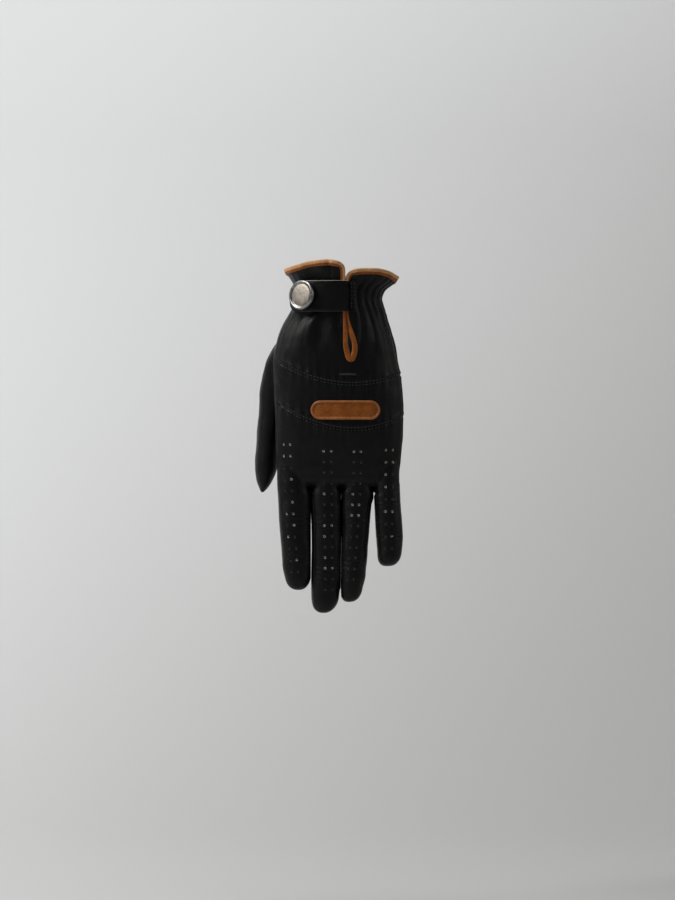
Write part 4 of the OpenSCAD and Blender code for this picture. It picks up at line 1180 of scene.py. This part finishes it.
def patchBase():
    shape, rows, ys = patchShape, [], []
    for x in np.linspace(*shape["fitX"], 15):
        for s in np.linspace(*shape["fitDrop"], 7):
            d = s - shape["fitMid"]
            rows.append([1, x, x * x, d, x * d, x ** 3, x ** 4])
            ys.append(onBack(x, s)[0][1])
    fit = np.linalg.lstsq(np.array(rows), np.array(ys), rcond=None)[0]

    def at(x, s):
        d = s - shape["fitMid"]
        y = fit @ np.array([1, x, x * x, d, x * d, x ** 3, x ** 4])
        dx = fit @ np.array([0, 1, 2 * x, 0, d, 3 * x * x, 4 * x ** 3])
        ds = fit @ np.array([0, 0, 0, 1, x, 0, 0])
        return np.array([x, y, -s]), unit(np.array([dx, -1, -ds]))
    return at


patchAt = patchBase()


def pillPoint(t, inset):
    shape = patchShape
    r = shape["high"] / 2 - inset
    reach = shape["long"] / 2 - shape["high"] / 2
    straight, arc = 2 * reach, math.pi * shape["high"] / 2
    d = t * 2 * (straight + arc)
    if d < straight:
        return -reach + d, r
    if d < straight + arc:
        a = (d - straight) / arc * math.pi
        return reach + r * math.sin(a), r * math.cos(a)
    if d < 2 * straight + arc:
        return reach - (d - straight - arc), -r
    a = (d - 2 * straight - arc) / arc * math.pi
    return -reach - r * math.sin(a), -r * math.cos(a)


def buildPatch():
    shape, rows = patchShape, []
    around, half = shape["around"], shape["around"] // 2
    for inset, height in shape["profile"]:
        loop = []
        for k in range(around):
            dx, ds = pillPoint(k / around, inset)
            p, n = patchAt(shape["x"] + dx, shape["drop"] - ds)
            loop.append(p + n * (height + shape["lift"]))
        rows.append(np.array(loop))
    points, faces = np.concatenate(rows), tubeFaces(len(rows), around, caps=False)
    faces.append(tuple(range(around - 1, -1, -1)))
    # The face: a strip of quads between the straight sides, and one face at each round end
    order = [(len(rows) - 1) * around + k for k in range(around)]
    straight = shape["long"] - shape["high"]
    n = int(straight / (2 * straight + math.pi * shape["high"]) * around)
    top = order[:n + 1]
    low = order[half:half + n + 1][::-1]
    for k in range(n):
        faces.append((top[k], top[k + 1], low[k + 1], low[k]))
    faces.append(tuple(order[n:half + 1]))
    faces.append(tuple(order[half + n:] + order[:1]))
    piece = toMesh("tanPatch", points, faces, ["tan", "tanGlossAndHighlight"], 50)
    # the raised rim gets the glossier tan, painted lighter as a painted highlight
    first, last = shape["rimRows"]
    for face in piece.data.polygons:
        if first * around <= face.index < last * around:
            face.material_index = 1
    orientOut(piece)
    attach(piece, "hand")
    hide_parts("patch")
    ends, count = [], shape["stitches"]
    for k in range(count):
        spots = []
        for t in (k / count, (k + shape["threadLong"]) / count):
            dx, ds = pillPoint(t, shape["threadIn"])
            spots.append(patchAt(shape["x"] + dx, shape["drop"] - ds))
        (a, n), (b, m) = spots
        ends.append((a + n * shape["threadRise"], b + m * shape["threadRise"], n))
    stitchMesh("patchThread", ends, shape["thread"], "tanThread", ["patch_thread"],
               rise=0.12, dip=0.2)


buildPatch()
print("patch made")

# Elastic in the wrist, inside the leather from the slit's little finger side round the palm
elasticShape = {"drop": 18.0, "high": 8.0, "thick": 0.8, "under": 2.1, "turns": (-1.05, 2.98),
                "ripple": 0.12, "ripples": 60, "steps": 130,
                "section": [(-1, 0), (-0.5, -0.1), (0, -0.15), (0.5, -0.1), (1, 0), (1, 1), (0.5, 1.1),
                            (0, 1.15), (-0.5, 1.1), (-1, 1)]}


def buildElastic():
    shape, rows = elasticShape, []
    for a in np.linspace(*shape["turns"], shape["steps"]):
        p, q = handAt(a, shape["drop"]), handAt(a + 0.01, shape["drop"])
        n = unit(np.cross(q - p, (0, 0, 1)))
        loop = []
        for s, e in shape["section"]:
            drop = shape["drop"] + s * shape["high"] / 2
            deep = shape["under"] + e * shape["thick"] + shape["ripple"] * math.sin(a * shape["ripples"])
            loop.append(np.array([p[0], p[1], -drop]) - n * deep)
        rows.append(np.array(loop))
    faces = tubeFaces(len(rows), len(shape["section"]))
    piece = toMesh("wristElastic", np.concatenate(rows), faces, "elastic", 60)
    orientOut(piece)
    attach(piece, "hand")
    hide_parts("wrist_elastic")


buildElastic()

# Button: cap and inset turned about the snap's axis
snapFrame = {"foot": (-20.88, -14.57, -19.0), "axis": (-0.5907, -0.8014, 0.0940)}
capProfile = [(0.0, 5.37), (8.9, 5.37), (9.35, 5.6), (9.58, 5.95), (9.6, 6.4), (9.6, 7.1), (9.5, 7.5),
              (9.25, 7.8), (8.85, 7.95), (8.4, 7.9), (8.0, 7.7), (7.8, 7.45), (7.62, 7.22), (7.4, 7.14),
              (7.2, 7.14), (0.0, 7.14)]
insetProfile = [(0.0, 7.16), (7.05, 7.16), (7.12, 7.24), (7.05, 7.36), (6.85, 7.44), (5.5, 7.6), (3.5, 7.72),
                (1.6, 7.78), (0.0, 7.8)]


def lathe(name, profile, finish, nodes, sides=72):
    axis = unit(np.array(snapFrame["axis"]))
    e1 = unit(np.cross(axis, (0, 0, 1)))
    e2 = np.cross(axis, e1)
    a = np.arange(sides) / sides * 2 * math.pi
    ringShape = np.outer(np.cos(a), e1) + np.outer(np.sin(a), e2)
    points = [np.array(snapFrame["foot"]) + axis * z + ringShape * max(r, 0.02) for r, z in profile]
    piece = toMesh(name, np.concatenate(points), tubeFaces(len(profile), sides), finish, 35)
    orientOut(piece)
    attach(piece, "tab")
    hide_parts(*nodes)


lathe("buttonCap", capProfile, "metal", ["snap_cap"])
lathe("buttonInset", insetProfile, "face", ["button_inset"])
for name in ("snap_socket", "snap_stud", "snap_post"):
    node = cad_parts[name]
    node.data.materials.clear()
    node.data.materials.append(looks["metal"])
print("button made")

# Stage: pale floor that curves up behind, soft light from the upper left. The paper carries painted light and
# shade: lighter towards the upper left, darker towards the lower right, and dark grey on the floor in front
# the darker tone is painted shade for the lower right, the lighter one painted light for the upper left, the
# dark grey painted shade for the floor in front
stageLook = {"floor": -0.42, "back": 1.1, "front": -3.0, "wide": 3.2, "round": 0.6,
             "tall": 2.6, "paintedShadeTone": (0.40, 0.397, 0.388, 1), "shade": (0.79, 0.80, 0.805, 1),
             "paintedFrontShade": (0.11, 0.11, 0.112, 1), "paintedFrontShadeFrom": (-2.2, -0.6),
             "rise": 0.9, "across": 0.55, "edge": -0.34, "paintedLightRamp": (-0.62, 0.42)}


def buildStage():
    look = stageLook
    line = [(look["front"], look["floor"]), (look["back"] - look["round"], look["floor"])]
    for k in range(1, 13):
        a = math.pi / 2 * k / 12
        line.append((look["back"] - look["round"] + look["round"] * math.sin(a),
                     look["floor"] + look["round"] * (1 - math.cos(a))))
    line.append((look["back"], look["tall"]))
    points, faces = [], []
    for y, z in line:
        points += [(-look["wide"], y, z), (look["wide"], y, z)]
    for k in range(len(line) - 1):
        faces.append((2 * k, 2 * k + 1, 2 * k + 3, 2 * k + 2))
    mesh = bpy.data.meshes.new("backdrop")
    mesh.from_pydata(points, [], faces)
    mesh.shade_smooth()
    material, wire = newFinish("paper")
    at = wire.add("ShaderNodeTexCoord", out="Object")
    place = wire.add("ShaderNodeSeparateXYZ", None, {"Vector": at}, out="X")
    height = wire.add("ShaderNodeSeparateXYZ", None, {"Vector": at}, out="Z")
    # painted light and shade: the paper turns lighter upwards and to the left, and no lighter beyond the edge
    # on the left
    near = wire.maths("MAXIMUM", place, look["edge"])
    paintedLightRamp = (height * look["rise"] - near * look["across"]).span(*look["paintedLightRamp"])
    # painted shade: the floor in front of the view turns dark grey
    frontShadeMask = wire.add("ShaderNodeSeparateXYZ", None, {"Vector": at}, out="Y").span(*look["paintedFrontShadeFrom"])
    fibre = wire.noise(at, 900, 3.0)
    paper = wire.mix(frontShadeMask, look["paintedFrontShade"], wire.mix(paintedLightRamp, look["paintedShadeTone"], look["shade"]))
    shade(wire, paper, 0.9, fibre, 0.0002, 0.2)
    mesh.materials.append(material)
    backdrop = bpy.data.objects.new("backdrop", mesh)
    bpy.context.scene.collection.objects.link(backdrop)


buildStage()
lightsAim = (0, 0, -0.1)
lights = {
    "key": {"at": (-1.9, -0.85, 1.5), "size": 1.1, "power": 54, "colour": (1.0, 0.99, 0.97)},
    "fill": {"at": (2.0, -0.6, 0.6), "size": 0.9, "power": 8, "colour": (1.0, 0.97, 0.94)},
    "top": {"at": (-0.3, 0.0, 1.9), "size": 1.2, "power": 21, "colour": (0.97, 0.99, 1.0)},
}
for name, light in lights.items():
    lamp = bpy.data.lights.new(name, "AREA")
    lamp.size = light["size"]
    lamp.energy = light["power"]
    lamp.color = light["colour"]
    holder = bpy.data.objects.new(name, lamp)
    holder.location = light["at"]
    holder.rotation_euler = (Vector(lightsAim) - Vector(light["at"])).to_track_quat("-Z", "Y").to_euler()
    bpy.context.scene.collection.objects.link(holder)
airLook = {"Color": (0.9, 0.92, 0.95, 1), "Strength": 0.1}
world = bpy.data.worlds.new("studio")
world.use_nodes = True
for socket, value in airLook.items():
    world.node_tree.nodes["Background"].inputs[socket].default_value = value
bpy.context.scene.world = world

view = {"away": 2.4, "x": -0.0016, "z": -0.1183, "tall": 0.585, "sensor": 24.0}
lens = bpy.data.cameras.new("view")
lens.sensor_fit = "VERTICAL"
lens.sensor_height = view["sensor"]
lens.lens = view["sensor"] * view["away"] / view["tall"]
camera = bpy.data.objects.new("view", lens)
camera.location = (view["x"], -view["away"], view["z"])
camera.rotation_euler = (math.pi / 2, 0, 0)
bpy.context.scene.collection.objects.link(camera)
scene = bpy.context.scene
scene.camera = camera
scene.view_settings.view_transform = "Standard"
print("stage set")
